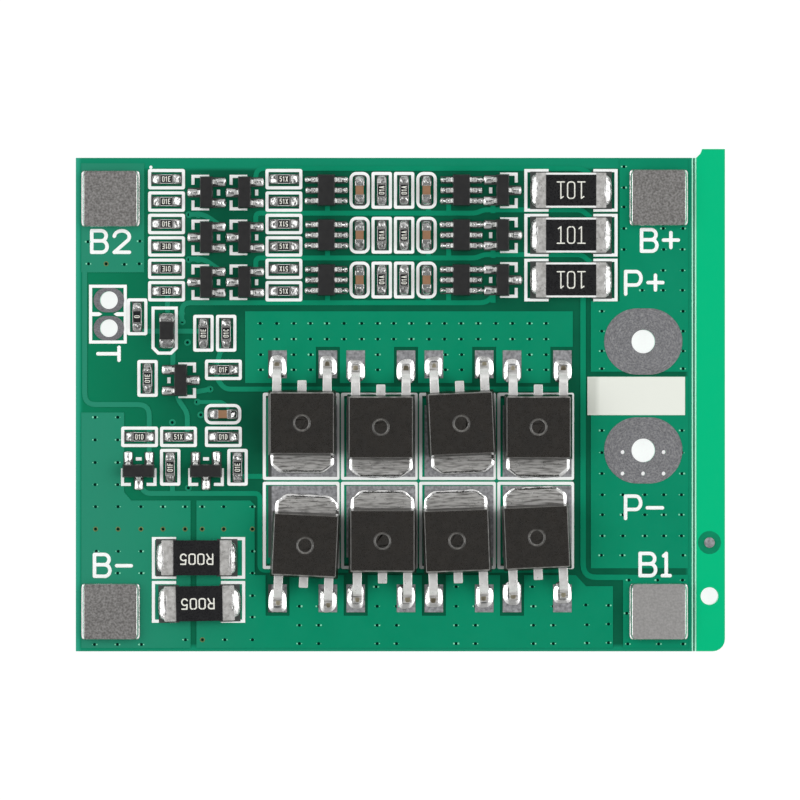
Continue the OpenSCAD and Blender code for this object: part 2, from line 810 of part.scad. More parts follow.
module solder_mound(l, w, h) {
    for (side = [-1, 1])
        translate([0, side * (l - w) / 2, 0]) cylinder(d1 = w, d2 = w * mound_taper, h = h);
    rotate([90, 0, 0]) linear_extrude(l - w, center = true)
        polygon([[-w / 2, 0], [w / 2, 0], [w * mound_taper / 2, h], [-w * mound_taper / 2, h]]);
}

module power_solder() {
    color("lightgray") on_lands() for (k = span(0, 2 * POWER_COLUMNS - 1)) {
        foot_y = power_pad_y(k) + power_shift[k][1] + power_side(k) * (power_l + lead_heel + lead_tip) / 2;
        difference() {
            for (side = [-1, 1])
                translate([power_pad_x(k) + side * lead_pitch, foot_y, 0])
                    solder_mound(mound_l, power_foot_pad[0] - solder_margin, mound_h);
            at_power(k) power_leads();
        }
        at_power(k) linear_extrude(rim_h) difference() {
            tab_outline(rim_w);
            tab_outline(0);
            translate([-power_w, -power_l / 2]) square([2 * power_w, power_l]);
        }
    }
}

// ---------------------------------------------------------------- small transistors

module sot_lead(side, y, body_w, span_w) {
    rotate(side > 0 ? 0 : 180) translate([0, side * y, 0])
        gull_lead(body_w / 2 - sot_hold, body_w / 2 + sot_knee, span_w / 2 - sot_foot, span_w / 2,
                  sot_lead[0], sot_lead[1], sot_parting);
}

module sot_leads(rows, body_w, span_w) {
    for (r = rows) sot_lead(r[0], r[1], body_w, span_w);
}

module sot_body(rows, body_w, span_w) {
    difference() {
        translate([0, 0, sot_standoff])
            moulded(body_w, small_l, small_h, sot_parting - sot_standoff, sot_draft);
        sot_leads(rows, body_w, span_w);
    }
}

module transistor_bodies() {
    color("#262625") on_lands() for (p = three_leads) at(p) sot_body(sot3_rows, sot3_w, sot3_span);
}

module transistor_leads() {
    color("silver") on_lands() for (p = three_leads) at(p) sot_leads(sot3_rows, sot3_w, sot3_span);
}

module monitor_circuit(i) {
    color("#262625") on_lands() at(six_leads[i]) sot_body(sot6_rows, sot6_w, sot6_span);
}

module monitor_leads() {
    color("silver") on_lands() for (p = six_leads) at(p) sot_leads(sot6_rows, sot6_w, sot6_span);
}

// Solder that banks up on both sides of a foot and in front of it
module lead_bank(side, y, span_w, pad_w) {
    rotate(side > 0 ? 0 : 180) translate([span_w / 2 - sot_foot + bank_heel, side * y, 0])
        rotate([90, 0, 90]) linear_extrude(sot_pad_l - sot_pad_heel + sot_foot - bank_heel - bank_margin)
            polygon([[-pad_w / 2, 0], [pad_w / 2, 0],
                     [sot_lead[0] / 2, bank_h], [-sot_lead[0] / 2, bank_h]]);
}

module banked_leads(places, rows, body_w, span_w, pad_w) {
    for (p = places) at(p) difference() {
        for (r = rows) lead_bank(r[0], r[1], span_w, pad_w - solder_margin);
        sot_leads(rows, body_w, span_w);
    }
}

module lead_solder() {
    color("lightgray") on_lands() {
        banked_leads(three_leads, sot3_rows, sot3_w, sot3_span, sot3_pad_w);
        banked_leads(six_leads, sot6_rows, sot6_w, sot6_span, sot6_pad_w);
    }
}

// ---------------------------------------------------------------- chips

// The fired core of a chip, a little shorter and lower than the finished part
module chip_core(l, w, h, skin) {
    translate([-l / 2 + skin, -w / 2, skin]) cube([l - 2 * skin, w, h - 2 * skin]);
}

module chip_ends(l, w, h, wrap, skin) {
    difference() {
        for (side = [0, 1]) rotate(180 * side) translate([l / 2 - wrap, -w / 2, 0]) cube([wrap, w, h]);
        chip_core(l, w, h, skin);
    }
}

module chip_glaze(l, w, h, wrap, skin) {
    translate([wrap - l / 2, -w / 2, h - skin]) cube([l - 2 * wrap, w, glaze_t]);
}

module chip_fillets(l, w, rise, run) {
    for (side = [0, 1]) rotate(180 * side) translate([l / 2, 0, 0]) fillet(w, run, rise);
}

module chip_resistor_cores() {
    color("whitesmoke") on_lands() for (p = chip_resistors) at(p)
        chip_core(chip_l, chip_w, chip_h, chip_skin);
}

module chip_resistor_glazes() {
    color("#1d1d1e") on_lands() for (p = chip_resistors) at(p)
        chip_glaze(chip_l, chip_w - glaze_margin, chip_h, chip_wrap, chip_skin);
}

module chip_resistor_ends() {
    color("silver") on_lands() for (p = chip_resistors) at(p)
        chip_ends(chip_l, chip_w, chip_h, chip_wrap, chip_skin);
}

module capacitor_bodies() {
    color("peru") on_lands() for (p = capacitors) at(p)
        chip_core(chip_l, chip_w - 2 * chip_skin, capacitor_h, chip_skin);
}

module capacitor_ends() {
    color("silver") on_lands() for (p = capacitors) at(p) difference() {
        for (side = [0, 1]) rotate(180 * side)
            translate([chip_l / 2 - capacitor_wrap, -chip_w / 2, 0])
                cube([capacitor_wrap, chip_w, capacitor_h]);
        chip_core(chip_l, chip_w - 2 * chip_skin, capacitor_h, chip_skin);
    }
}

module chip_solder() {
    color("lightgray") on_lands() {
        for (p = chip_resistors) at(p) chip_fillets(chip_l, chip_w, chip_h * resistor_climb, fillet_run);
        for (p = capacitors) at(p) chip_fillets(chip_l, chip_w, capacitor_h * capacitor_climb, fillet_run);
        at(diode_place)
            chip_fillets(diode_size[0], diode_size[1], diode_size[2] * diode_climb, fillet_run);
    }
}

module diode_body() {
    color("#262625") on_lands() at(diode_place)
        translate([-diode_size[0] / 2 + diode_wrap, -diode_size[1] / 2, 0])
            cube([diode_size[0] - 2 * diode_wrap, diode_size[1], diode_size[2]]);
}

module diode_ends() {
    color("silver") on_lands() at(diode_place) for (side = [0, 1]) rotate(180 * side)
        translate([diode_size[0] / 2 - diode_wrap, -diode_size[1] / 2, 0])
            cube([diode_wrap, diode_size[1], diode_size[2] - diode_end_drop]);
}

module balance_resistor(i) {
    color("whitesmoke") on_lands() at(balance_resistors[i]) chip_core(large_l, large_w, large_h, chip_skin);
}

module balance_resistor_glazes() {
    color("#1d1d1e") on_lands() for (p = balance_resistors) at(p)
        chip_glaze(large_l, large_glaze_w, large_h, large_wrap, chip_skin);
}

module balance_resistor_ends() {
    color("silver") on_lands() for (p = balance_resistors) at(p)
        chip_ends(large_l, large_w, large_h, large_wrap, chip_skin);
}

// A shunt is a metal strip coated in black between two tinned blocks
module shunt_resistor(i) {
    color("#1d1d1e") on_lands() at(shunt_places[i])
        translate([shunt_wrap - large_l / 2, -large_w / 2, 0])
            cube([large_l - 2 * shunt_wrap, large_w, large_h + glaze_t]);
}

module shunt_resistor_ends() {
    color("silver") on_lands() for (p = shunt_places) at(p) for (side = [0, 1]) rotate(180 * side)
        translate([large_l / 2 - shunt_wrap, -large_w / 2, 0]) cube([shunt_wrap, large_w, large_h]);
}

module large_resistor_solder() {
    color("lightgray") on_lands() for (p = concat(balance_resistors, shunt_places)) at(p)
        chip_fillets(large_l, large_w, large_h * large_climb, large_fillet_run);
}

// ---------------------------------------------------------------- nodes

function numbered(name, n) = [for (i = [1:n]) str(name, "_", i)];

power_body_names = numbered("power_transistor_body", 2 * POWER_COLUMNS);
power_frame_names = numbered("power_transistor_leadframe", 2 * POWER_COLUMNS);
monitor_names = numbered("monitor_circuit", 2 * CHANNELS);
balance_names = numbered("balance_resistor", CHANNELS);
shunt_names = numbered("shunt_resistor", len(shunt_places));
sensor_names = numbered("sensor_land", 2);
cell_plate_names = [for (n = plate_names) str("cell_plate_", n)];

NODES = concat(
    ["board", "masked_copper", "tinned_lands", "load_plus_land", "load_minus_land", "legend",
     "cell_plate_solder", "power_solder", "transistor_bodies", "transistor_leads", "monitor_leads",
     "lead_solder", "chip_resistor_cores", "chip_resistor_glazes", "chip_resistor_ends",
     "capacitor_bodies", "capacitor_ends", "chip_solder", "diode_body", "diode_ends",
     "balance_resistor_glazes", "balance_resistor_ends", "shunt_resistor_ends", "large_resistor_solder"],
    power_body_names, power_frame_names, monitor_names, balance_names, shunt_names, sensor_names,
    cell_plate_names);
node = "all";

function shown(name) = node == "all" || node == name;

if (shown("board")) board();
if (shown("masked_copper")) masked_copper();
if (shown("tinned_lands")) tinned_lands();
if (shown("load_plus_land")) load_plus_land();
if (shown("load_minus_land")) load_minus_land();
if (shown("legend")) legend();
if (shown("cell_plate_solder")) cell_plate_solder();
if (shown("power_solder")) power_solder();
if (shown("transistor_bodies")) transistor_bodies();
if (shown("transistor_leads")) transistor_leads();
if (shown("monitor_leads")) monitor_leads();
if (shown("lead_solder")) lead_solder();
if (shown("chip_resistor_cores")) chip_resistor_cores();
if (shown("chip_resistor_glazes")) chip_resistor_glazes();
if (shown("chip_resistor_ends")) chip_resistor_ends();
if (shown("capacitor_bodies")) capacitor_bodies();
if (shown("capacitor_ends")) capacitor_ends();
if (shown("chip_solder")) chip_solder();
if (shown("diode_body")) diode_body();
if (shown("diode_ends")) diode_ends();
if (shown("balance_resistor_glazes")) balance_resistor_glazes();
if (shown("balance_resistor_ends")) balance_resistor_ends();
if (shown("shunt_resistor_ends")) shunt_resistor_ends();
if (shown("large_resistor_solder")) large_resistor_solder();
for (k = span(0, 2 * POWER_COLUMNS - 1)) {
    if (shown(power_body_names[k])) power_body(k);
    if (shown(power_frame_names[k])) power_leadframe(k);
}
for (i = span(0, 2 * CHANNELS - 1)) if (shown(monitor_names[i])) monitor_circuit(i);
for (i = span(0, CHANNELS - 1)) if (shown(balance_names[i])) balance_resistor(i);
for (i = [0, 1]) {
    if (shown(shunt_names[i])) shunt_resistor(i);
    if (shown(sensor_names[i])) sensor_land(i);
}
for (i = span(0, len(cell_plates) - 1)) if (shown(cell_plate_names[i])) cell_plate(i);
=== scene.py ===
"""Dresses the battery management board: finishes, solder, vias, printed characters and the studio.

The solids of the board come fixed from the frame. This script gives them their finishes, stands smooth
solder, formed by surface tension, in place of the plain solder solids, and adds what is printed or drilled
too finely for solids. All lengths are in metres, unless a name or a comment says millimetres.
"""

import json
import logging
from abc import ABC, abstractmethod
from collections.abc import Sequence
from dataclasses import dataclass, field
from enum import Enum

import bpy
import numpy as np
from mathutils import Matrix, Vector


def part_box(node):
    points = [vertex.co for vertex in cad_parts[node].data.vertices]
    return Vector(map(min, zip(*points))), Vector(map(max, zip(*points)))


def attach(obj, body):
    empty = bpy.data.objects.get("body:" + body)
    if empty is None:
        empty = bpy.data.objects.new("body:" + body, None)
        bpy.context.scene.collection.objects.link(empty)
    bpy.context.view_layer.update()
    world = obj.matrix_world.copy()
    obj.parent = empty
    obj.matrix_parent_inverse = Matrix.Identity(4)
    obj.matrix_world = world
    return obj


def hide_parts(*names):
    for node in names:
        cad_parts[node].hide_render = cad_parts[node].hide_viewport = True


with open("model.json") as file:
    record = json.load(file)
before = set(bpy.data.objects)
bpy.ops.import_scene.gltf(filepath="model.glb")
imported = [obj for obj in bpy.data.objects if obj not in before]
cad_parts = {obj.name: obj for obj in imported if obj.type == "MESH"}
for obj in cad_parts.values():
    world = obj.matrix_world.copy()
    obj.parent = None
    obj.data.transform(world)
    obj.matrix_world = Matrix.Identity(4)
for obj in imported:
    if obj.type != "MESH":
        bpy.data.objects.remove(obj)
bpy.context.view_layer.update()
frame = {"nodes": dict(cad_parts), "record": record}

LOG = logging.getLogger("board")
MM = 0.001
BODY = "root"
# Lower left corner of the board proper, in the frame
CORNER = np.array([-29.4, -22.75]) * MM

Triple = tuple[float, float, float]
Colour = Triple
Pair = tuple[float, float]
Profile = tuple[float, ...]
Array = np.ndarray
Material = bpy.types.Material
Node = bpy.types.Node
Socket = bpy.types.NodeSocket


def linear(red: int, green: int, blue: int) -> Colour:
    """Turns a colour written in 8-bit display values into linear light.

    Args:
        red: Red, 0 to 255.
        green: Green, 0 to 255.
        blue: Blue, 0 to 255.

    Returns:
        The three linear values.
    """
    values = np.array([red, green, blue]) / 255
    light = np.where(values <= 0.04045, values / 12.92, ((values + 0.055) / 1.055) ** 2.4)
    return tuple(float(v) for v in light)


@dataclass(frozen=True)
class Levels:
    """Heights of the board's layers above its underside."""

    underside: float = 0.0
    laminate: float = 1.2 * MM
    copper: float = 1.25 * MM
    land: float = 1.28 * MM
    tab: float = 1.78 * MM


LEVEL = Levels()


# ------------------------------------------------------------------ points


def on_board(points_mm: Array) -> Array:
    """Moves points measured in millimetres from the board's lower left corner into the frame.

    Args:
        points_mm: Array whose last axis holds X and Y.

    Returns:
        The same points in metres in the frame.
    """
    return np.asarray(points_mm, dtype=float) * MM + CORNER


def lifted(flat: Array, height: Array | float) -> Array:
    """Gives points on the flat their heights.

    Args:
        flat: Array of shape (..., 2).
        height: Heights, in a shape that broadcasts to the points.

    Returns:
        Array of shape (..., 3).
    """
    return np.concatenate([flat, np.broadcast_to(height, flat.shape[:-1])[..., None]], -1)


def turn(points: Array, heading: Array) -> Array:
    """Turns points given in a piece's own axes so that its first axis runs along a heading.

    Args:
        points: Array of shape (..., 3) in the piece's own axes.
        heading: Unit vector in X and Y, or an array of them that broadcasts.

    Returns:
        The turned points: x along the heading, y to its left, z unchanged.
    """
    x, y, z = points[..., 0], points[..., 1], points[..., 2]
    hx, hy = heading[..., 0], heading[..., 1]
    return np.stack([x * hx - y * hy, x * hy + y * hx, z + 0 * hx], -1)


def squared_round(count: int, power: float) -> Array:
    """Takes points round a superellipse: cosine and sine, each to the power 2/p with its sign kept.

    Args:
        count: Number of points.
        power: 2 gives a circle, and more gives a squarer outline.

    Returns:
        Array of shape (count, 2), anticlockwise, of half width 1.
    """
    angle = np.linspace(0, 2 * np.pi, count, endpoint=False)
    unit = np.stack([np.cos(angle), np.sin(angle)], -1)
    return np.sign(unit) * np.abs(unit) ** (2 / power)


def vertices(node: str) -> Array:
    """Reads the places of a node's vertices.

    Args:
        node: The node's name.

    Returns:
        Array of shape (vertices, 3).
    """
    mesh = frame["nodes"][node].data
    places = np.empty(len(mesh.vertices) * 3, dtype=np.float32)
    mesh.vertices.foreach_get("co", places)
    return places.reshape(-1, 3)


def islands(node: str) -> Array:
    """Finds the separate solids of a node by joining triangles that share corners.

    Each corner takes the lowest label of the triangles round it until nothing changes.

    Args:
        node: The node's name.

    Returns:
        Array of shape (solids, 2, 3): the lowest and highest corner of each solid's box.
    """
    mesh = frame["nodes"][node].data
    mesh.calc_loop_triangles()
    thirds = np.empty(len(mesh.loop_triangles) * 3, dtype=np.int32)
    mesh.loop_triangles.foreach_get("vertices", thirds)
    places = vertices(node)
    _, which = np.unique(np.round(places * 1e6).astype(np.int64), axis=0, return_inverse=True)
    which = which.ravel()
    corners = which[thirds.reshape(-1, 3)]
    label = np.arange(which.max() + 1)
    before = np.zeros(0)
    while not np.array_equal(before, label):
        before = label.copy()
        np.minimum.at(label, corners, label[corners].min(axis=1)[:, None])
        label = label[label]
    _, group = np.unique(label[which], return_inverse=True)
    group = group.ravel()
    low = np.full((group.max() + 1, 3), np.inf)
    high = -low
    np.minimum.at(low, group, places)
    np.maximum.at(high, group, places)
    return np.stack([low, high], 1)


def headings(parts: Array, bodies: Array) -> Array:
    """Works out which way each part points out of the body nearest to it.

    Args:
        parts: Boxes of the parts, shape (parts, 2, 3).
        bodies: Boxes of the bodies, shape (bodies, 2, 3).

    Returns:
        Unit vectors along X or Y, shape (parts, 2).
    """
    middle = parts.mean(axis=1)[:, :2]
    low, high = bodies[:, 0, :2], bodies[:, 1, :2]
    gap = np.maximum(np.maximum(low[None] - middle[:, None], middle[:, None] - high[None]), 0)
    box = bodies[np.argmin((gap**2).sum(-1), axis=1)]
    half = (box[:, 1] - box[:, 0])[:, :2] / 2
    away = (middle - box.mean(axis=1)[:, :2]) / half
    along_x = np.abs(away[:, 0]) > np.abs(away[:, 1])
    sign = np.sign(away)
    return np.stack([np.where(along_x, sign[:, 0], 0), np.where(along_x, 0, sign[:, 1])], -1)


def outline_at(node: str, height: float) -> Array:
    """Takes the corners of a node that lie at one height.

    Args:
        node: The node's name.
        height: The height.

    Returns:
        Array of shape (corners, 2), anticlockwise round their middle.
    """
    places = vertices(node).astype(float)
    flat = places[np.abs(places[:, 2] - height) < 2e-6][:, :2]
    flat = np.unique(np.round(flat, 6), axis=0)
    middle = (flat.min(0) + flat.max(0)) / 2
    return flat[np.argsort(np.arctan2(*(flat - middle).T[::-1]))]


# ------------------------------------------------------------------ mesh building


class Shell:
    """Collects closed surfaces, each given as whole arrays of points, and makes one mesh of them."""

    def __init__(self) -> None:
        """Starts with no points and no faces."""
        self.points: list[Array] = []
        self.faces: list[Array] = []
        self.count = 0

    def add(self, points: Array, faces: Array) -> None:
        """Adds points and the faces between them.

        Args:
            points: Array whose last axis holds X, Y and Z.
            faces: Array of M by 3 or M by 4 indices into the points.
        """
        self.points.append(points.reshape(-1, 3))
        self.faces.append(faces + self.count)
        self.count += len(self.points[-1])

    def bands(self, rings: Array, joins: int) -> None:
        """Adds the quads that join each ring of points to the next one.

        Args:
            rings: Array of shape (bands, rings, points, 3).
            joins: Number of joins: one less than the rings, or as many to close the band.
        """
        bands, rows, points, _ = rings.shape
        band, row, point = np.meshgrid(np.arange(bands), np.arange(joins), np.arange(points), indexing="ij")
        base = band * rows * points
        here, there = base + row * points, base + (row + 1) % rows * points
        beside = (point + 1) % points
        quads = np.stack([here + point, here + beside, there + beside, there + point], -1)
        self.add(rings, quads.reshape(-1, 4))

    def loops(self, rings: Array) -> None:
        """Adds closed bands, whose rings join round in both directions, as on a doughnut.

        Args:
            rings: Array of shape (bands, rings, points, 3).
        """
        self.bands(rings, rings.shape[1])

    def tubes(self, rings: Array) -> None:
        """Adds closed tubes: each ring of points joins the next one, and fans close both ends.

        Args:
            rings: Array of shape (tubes, rings, points, 3).
        """
        tubes, rows, points, _ = rings.shape
        start = self.count
        self.bands(rings, rows - 1)
        step = np.arange(points)
        for row, way in ((0, -1), (rows - 1, 1)):
            first = start - self.count + np.arange(tubes)[:, None] * rows * points + row * points
            here, there = first + step, first + (step + 1) % points
            middle = np.arange(tubes)[:, None] + 0 * here
            self.add(rings[:, row].mean(axis=1), np.stack([here, there, middle][::way], -1).reshape(-1, 3))

    def piece(self, name: str, slot: str, material: Material, stands_for: Sequence[str] = ()) -> None:
        """Makes the mesh object and lets it ride on the board.

        Args:
            name: The object's name.
            slot: The record's material slot; not used.
            material: Its material.
            stands_for: Nodes of the frame that it replaces.
        """
        kinds = [[faces for faces in self.faces if faces.shape[1] == sides] for sides in (4, 3)]
        corners = np.concatenate([faces.ravel() for kind in kinds for faces in kind])
        sizes = np.concatenate([np.full(len(faces), faces.shape[1]) for kind in kinds for faces in kind])
        points = np.concatenate(self.points)
        mesh = bpy.data.meshes.new(name)
        mesh.vertices.add(len(points))
        mesh.vertices.foreach_set("co", points.ravel())
        mesh.loops.add(len(corners))
        mesh.loops.foreach_set("vertex_index", corners)
        mesh.polygons.add(len(sizes))
        mesh.polygons.foreach_set("loop_start", np.cumsum(sizes) - sizes)
        mesh.polygons.foreach_set("use_smooth", np.ones(len(sizes), dtype=bool))
        mesh.update(calc_edges=True)
        mesh.validate()
        mesh.materials.append(material)
        thing = placed(name, mesh)
        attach(thing, BODY)
        if stands_for:
            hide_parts(*stands_for)
        LOG.info("%s: %d points, %d faces", name, len(points), len(sizes))


def placed(name: str, data: bpy.types.ID) -> bpy.types.Object:
    """Makes an object of a mesh, a lamp or a camera and puts it in the scene.

    Args:
        name: The object's name.
        data: What it shows.

    Returns:
        The object, at the origin.
    """
    thing = bpy.data.objects.new(name, data)
    bpy.context.scene.collection.objects.link(thing)
    return thing


# ------------------------------------------------------------------ shader nodes


@dataclass(frozen=True)
class Zone:
    """An upright rectangle on the board, over whose edge a mask fades. Lengths are in millimetres."""

    middle: Pair
    half: Pair
    softness: float


class Graph:
    """A node tree, with a short way to add each kind of node that the finishes share."""

    def __init__(self, tree: bpy.types.NodeTree) -> None:
        """Takes the tree that the nodes go into."""
        self.tree = tree

    def add(self, kind: str, links: dict[str | int, object] | None = None, **settings: object) -> Node:
        """Adds a node, sets its attributes and fills its inputs.

        Args:
            kind: The node's type, without the words ShaderNode in front.
            links: Input name or index to an output socket or a plain value.
            settings: Attributes of the node.

        Returns:
            The node.
        """
        node = self.tree.nodes.new("ShaderNode" + kind)
        for key, value in settings.items():
            setattr(node, key, value)
        for key, value in (links or {}).items():
            self.fill(node.inputs[key], value)
        return node

    def fill(self, entry: Socket, value: object) -> None:
        """Links an input to an output socket, or gives it a plain value.

        Args:
            entry: The input.
            value: The output socket or the value.
        """
        if isinstance(value, Socket):
            self.tree.links.new(value, entry)
        else:
            entry.default_value = value

    def math(self, operation: str, *values: object, clamp: bool = False) -> Socket:
        """Works out one value from others.

        Args:
            operation: The sum to do.
            values: Output sockets or plain values.
            clamp: Whether the result is held between 0 and 1.

        Returns:
            The result's socket.
        """
        return self.add("Math", dict(enumerate(values)), operation=operation, use_clamp=clamp).outputs[0]

    def vector_math(self, operation: str, *values: object) -> Socket:
        """Works out a vector, or a vector's length, from vectors.

        Args:
            operation: The sum to do.
            values: Output sockets or plain vectors.

        Returns:
            The result's socket.
        """
        node = self.add("VectorMath", dict(enumerate(values)), operation=operation)
        return node.outputs["Value" if operation == "LENGTH" else "Vector"]

    def spread(
        self, value: Socket, low: float, high: float, start: float | Socket = 0.0, end: float | Socket = 1.0
    ) -> Socket:
        """Stretches the range from low to high to the one from start to end, and holds it there.

        Args:
            value: The value.
            low: The value that gives start.
            high: The value that gives end.
            start: Result at low.
            end: Result at high.

        Returns:
            The result's socket.
        """
        # Inputs 1 to 4 are the limits for plain values. Vectors have others of the same names.
        return self.add("MapRange", {"Value": value, 1: low, 2: high, 3: start, 4: end}).outputs[0]

    def noise(
        self, vector: Socket, scale: float | Socket, detail: float = 2.0, roughness: float = 0.5
    ) -> Socket:
        """Adds soft noise.

        Args:
            vector: The coordinates.
            scale: Patches in a metre.
            detail: Number of finer layers.
            roughness: Weight of the finer layers.

        Returns:
            The noise's socket, from 0 to 1.
        """
        links = {"Vector": vector, "Scale": scale, "Detail": detail, "Roughness": roughness}
        return self.add("TexNoise", links).outputs["Fac"]

    def blend(self, mask: Socket, first: Socket | Colour, second: Socket | Colour) -> Socket:
        """Mixes two colours by a mask.

        Args:
            mask: 0 for the first colour, 1 for the second.
            first: A colour or a colour socket.
            second: A colour or a colour socket.

        Returns:
            The mixed colour's socket.
        """
        pair = [tone if isinstance(tone, Socket) else (*tone, 1) for tone in (first, second)]
        return self.add("Mix", {"Factor": mask, 6: pair[0], 7: pair[1]}, data_type="RGBA").outputs[2]

    def axes(self, vector: Socket) -> tuple[Socket, ...]:
        """Splits a vector into its three axes."""
        return tuple(self.add("SeparateXYZ", {0: vector}).outputs)

    def tilt(self) -> Socket:
        """Reads how far a face looks up: 1 flat, 0 upright, -1 on an underside."""
        return self.axes(self.add("NewGeometry").outputs["Normal"])[2]


class Group(Graph):
    """A shader node group with named sockets."""

    def __init__(self, name: str, inputs: dict[str, tuple[str, object]]) -> None:
        """Makes the group and its inputs.

        Args:
            name: The group's name.
            inputs: Kind and default of each input.
        """
        super().__init__(bpy.data.node_groups.new(name, "ShaderNodeTree"))
        for label, (kind, default) in inputs.items():
            socket = self.tree.interface.new_socket(label, in_out="INPUT", socket_type=f"NodeSocket{kind}")
            if default is not None:
                socket.default_value = default
        self.given = self.tree.nodes.new("NodeGroupInput").outputs

    def giving(self, results: dict[str, tuple[str, Socket]]) -> bpy.types.NodeTree:
        """Makes the group's outputs.

        Args:
            results: Kind of each output, and the socket that it passes on.

        Returns:
            The group's tree.
        """
        for label, (kind, _) in results.items():
            self.tree.interface.new_socket(label, in_out="OUTPUT", socket_type=f"NodeSocket{kind}")
        last = self.tree.nodes.new("NodeGroupOutput")
        for label, (_, socket) in results.items():
            self.tree.links.new(socket, last.inputs[label])
        return self.tree


def mottle_group() -> bpy.types.NodeTree:
    """Builds the group that drifts between two colours in soft patches.

    Returns:
        The group, which puts out Colour.
    """
    group = Group(
        "soft_mottle",
        {
            "Vector": ("Vector", None),
            "Colour": ("Color", (0.5, 0.5, 0.5, 1)),
            "Second": ("Color", (0.4, 0.4, 0.4, 1)),
            "Scale": ("Float", 500.0),
            "Amount": ("Float", 0.5),
        },
    )
    given = group.given
    noise = group.noise(given["Vector"], given["Scale"], detail=3.0, roughness=0.55)
    patches = group.spread(noise, 0.34, 0.66)
    mask = group.math("MULTIPLY", patches, given["Amount"])
    return group.giving({"Colour": ("Color", group.blend(mask, given["Colour"], given["Second"]))})


def grain_group() -> bpy.types.NodeTree:
    """Builds the group that gives fine grain.

    Returns:
        The group, which puts out Value, between Low and High, and Height for bump.
    """
    group = Group(
        "fine_grain",
        {
            "Vector": ("Vector", None),
            "Scale": ("Float", 6000.0),
            "Coarse": ("Float", 0.35),
            "Low": ("Float", 0.3),
            "High": ("Float", 0.5),
        },
    )
    given = group.given
    fine = group.noise(given["Vector"], given["Scale"], roughness=0.6)
    broad = group.noise(given["Vector"], group.math("MULTIPLY", given["Scale"], 0.22))
    height = group.add("Mix", {"Factor": given["Coarse"], 2: fine, 3: broad}, data_type="FLOAT").outputs[0]
    value = group.spread(height, 0.35, 0.65, given["Low"], given["High"])
    return group.giving({"Value": ("Float", value), "Height": ("Float", height)})


def zone_group() -> bpy.types.NodeTree:
    """Builds the group that marks an upright rectangle with soft edges.

    The mask is 1 inside and falls to 0 over Softness: it is the smaller of the two sides' ramps.

    Returns:
        The group, which puts out Mask.
    """
    group = Group(
        "soft_zone",
        {
            "Vector": ("Vector", None),
            "Middle": ("Vector", (0, 0, 0)),
            "Half": ("Vector", (0.01, 0.01, 1)),
            "Softness": ("Float", 0.0005),
        },
    )
    given = group.given
    away = group.vector_math("ABSOLUTE", group.vector_math("SUBTRACT", given["Vector"], given["Middle"]))
    room = group.axes(group.vector_math("SUBTRACT", given["Half"], away))
    mask = group.math("DIVIDE", group.math("MINIMUM", room[0], room[1]), given["Softness"], clamp=True)
    return group.giving({"Mask": ("Float", mask)})


@dataclass(frozen=True)
class Groups:
    """The shared shader groups."""

    mottle: bpy.types.NodeTree = field(default_factory=mottle_group)
    grain: bpy.types.NodeTree = field(default_factory=grain_group)
    zone: bpy.types.NodeTree = field(default_factory=zone_group)


GROUPS = Groups()


class Surface(Graph):
    """The nodes of one material, with its coordinates and its mottled colour at hand."""

    own: Socket

    def __init__(self, tree: bpy.types.NodeTree) -> None:
        """Reads the material's Object coordinates.

        Args:
            tree: The material's tree.
        """
        super().__init__(tree)
        self.vector = self.add("TexCoord").outputs["Object"]
        self.x, self.y, self.z = self.axes(self.vector)

    def group(self, tree: bpy.types.NodeTree, given: dict[str, object]) -> dict[str, Socket]:
        """Places a shared group on the material's coordinates.

        Args:
            tree: The group.
            given: Its inputs, apart from Vector.

        Returns:
            Its outputs by name.
        """
        return dict(self.add("Group", {"Vector": self.vector} | given, node_tree=tree).outputs.items())

    def inside(self, zone: Zone) -> Socket:
        """Marks a zone.

        Args:
            zone: The rectangle.

        Returns:
            The mask's socket: 1 inside, 0 outside.
        """
        middle, half = ((x * MM, y * MM, 0) for x, y in (zone.middle, zone.half))
        given = {"Middle": middle, "Half": (*half[:2], 1), "Softness": zone.softness * MM}
        return self.group(GROUPS.zone, given)["Mask"]


# ------------------------------------------------------------------ finishes


@dataclass(frozen=True)
class Finish:
    """A finish whose colour drifts between two tones, with grain in its roughness and relief."""

    name: str
    colour: Colour
    second: Colour
    low_rough: float
    high_rough: float
    metallic: float = 0.0
    specular: float = 0.5
    mottle_scale: float = 500.0
    mottle: float = 0.6
    grain_scale: float = 5000.0
    coarse: float = 0.35
    bump: float = 0.1
    relief: float = 0.01 * MM
    coat: float = 0.0
    coat_rough: float = 0.12

    def material(self) -> Material:
        """Builds the finish as a material, read in Object coordinates.

        Returns:
            The material.
        """
        material = bpy.data.materials.new(self.name)
        material.use_nodes = True
        face = Surface(material.node_tree)
        tones = {"Colour": (*self.colour, 1), "Second": (*self.second, 1)}
        mottle = face.group(GROUPS.mottle, tones | {"Scale": self.mottle_scale, "Amount": self.mottle})
        face.own = mottle["Colour"]
        limits = {"Low": self.low_rough, "High": self.high_rough}
        grain = face.group(GROUPS.grain, limits | {"Scale": self.grain_scale, "Coarse": self.coarse})
        relief = {"Height": grain["Height"], "Strength": self.bump, "Distance": self.relief}
        values = {
            "Base Color": self.tone(face),
            "Roughness": grain["Value"],
            "Metallic": self.metallic,
            "Specular IOR Level": self.specular,
            "Coat Weight": self.coat,
            "Coat Roughness": self.coat_rough,
            "Normal": face.add("Bump", relief).outputs["Normal"],
        }
        for entry, value in (values | self.sheen(face)).items():
            face.fill(face.tree.nodes["Principled BSDF"].inputs[entry], value)
        return material

    def tone(self, face: Surface) -> Socket:
        """Gives the base colour. Finishes with zones or wear work them in here."""
        return face.own

    def sheen(self, face: Surface) -> dict[str, Socket]:
        """Gives inputs of the shader that change over the surface, if there are more than usual."""
        return {}


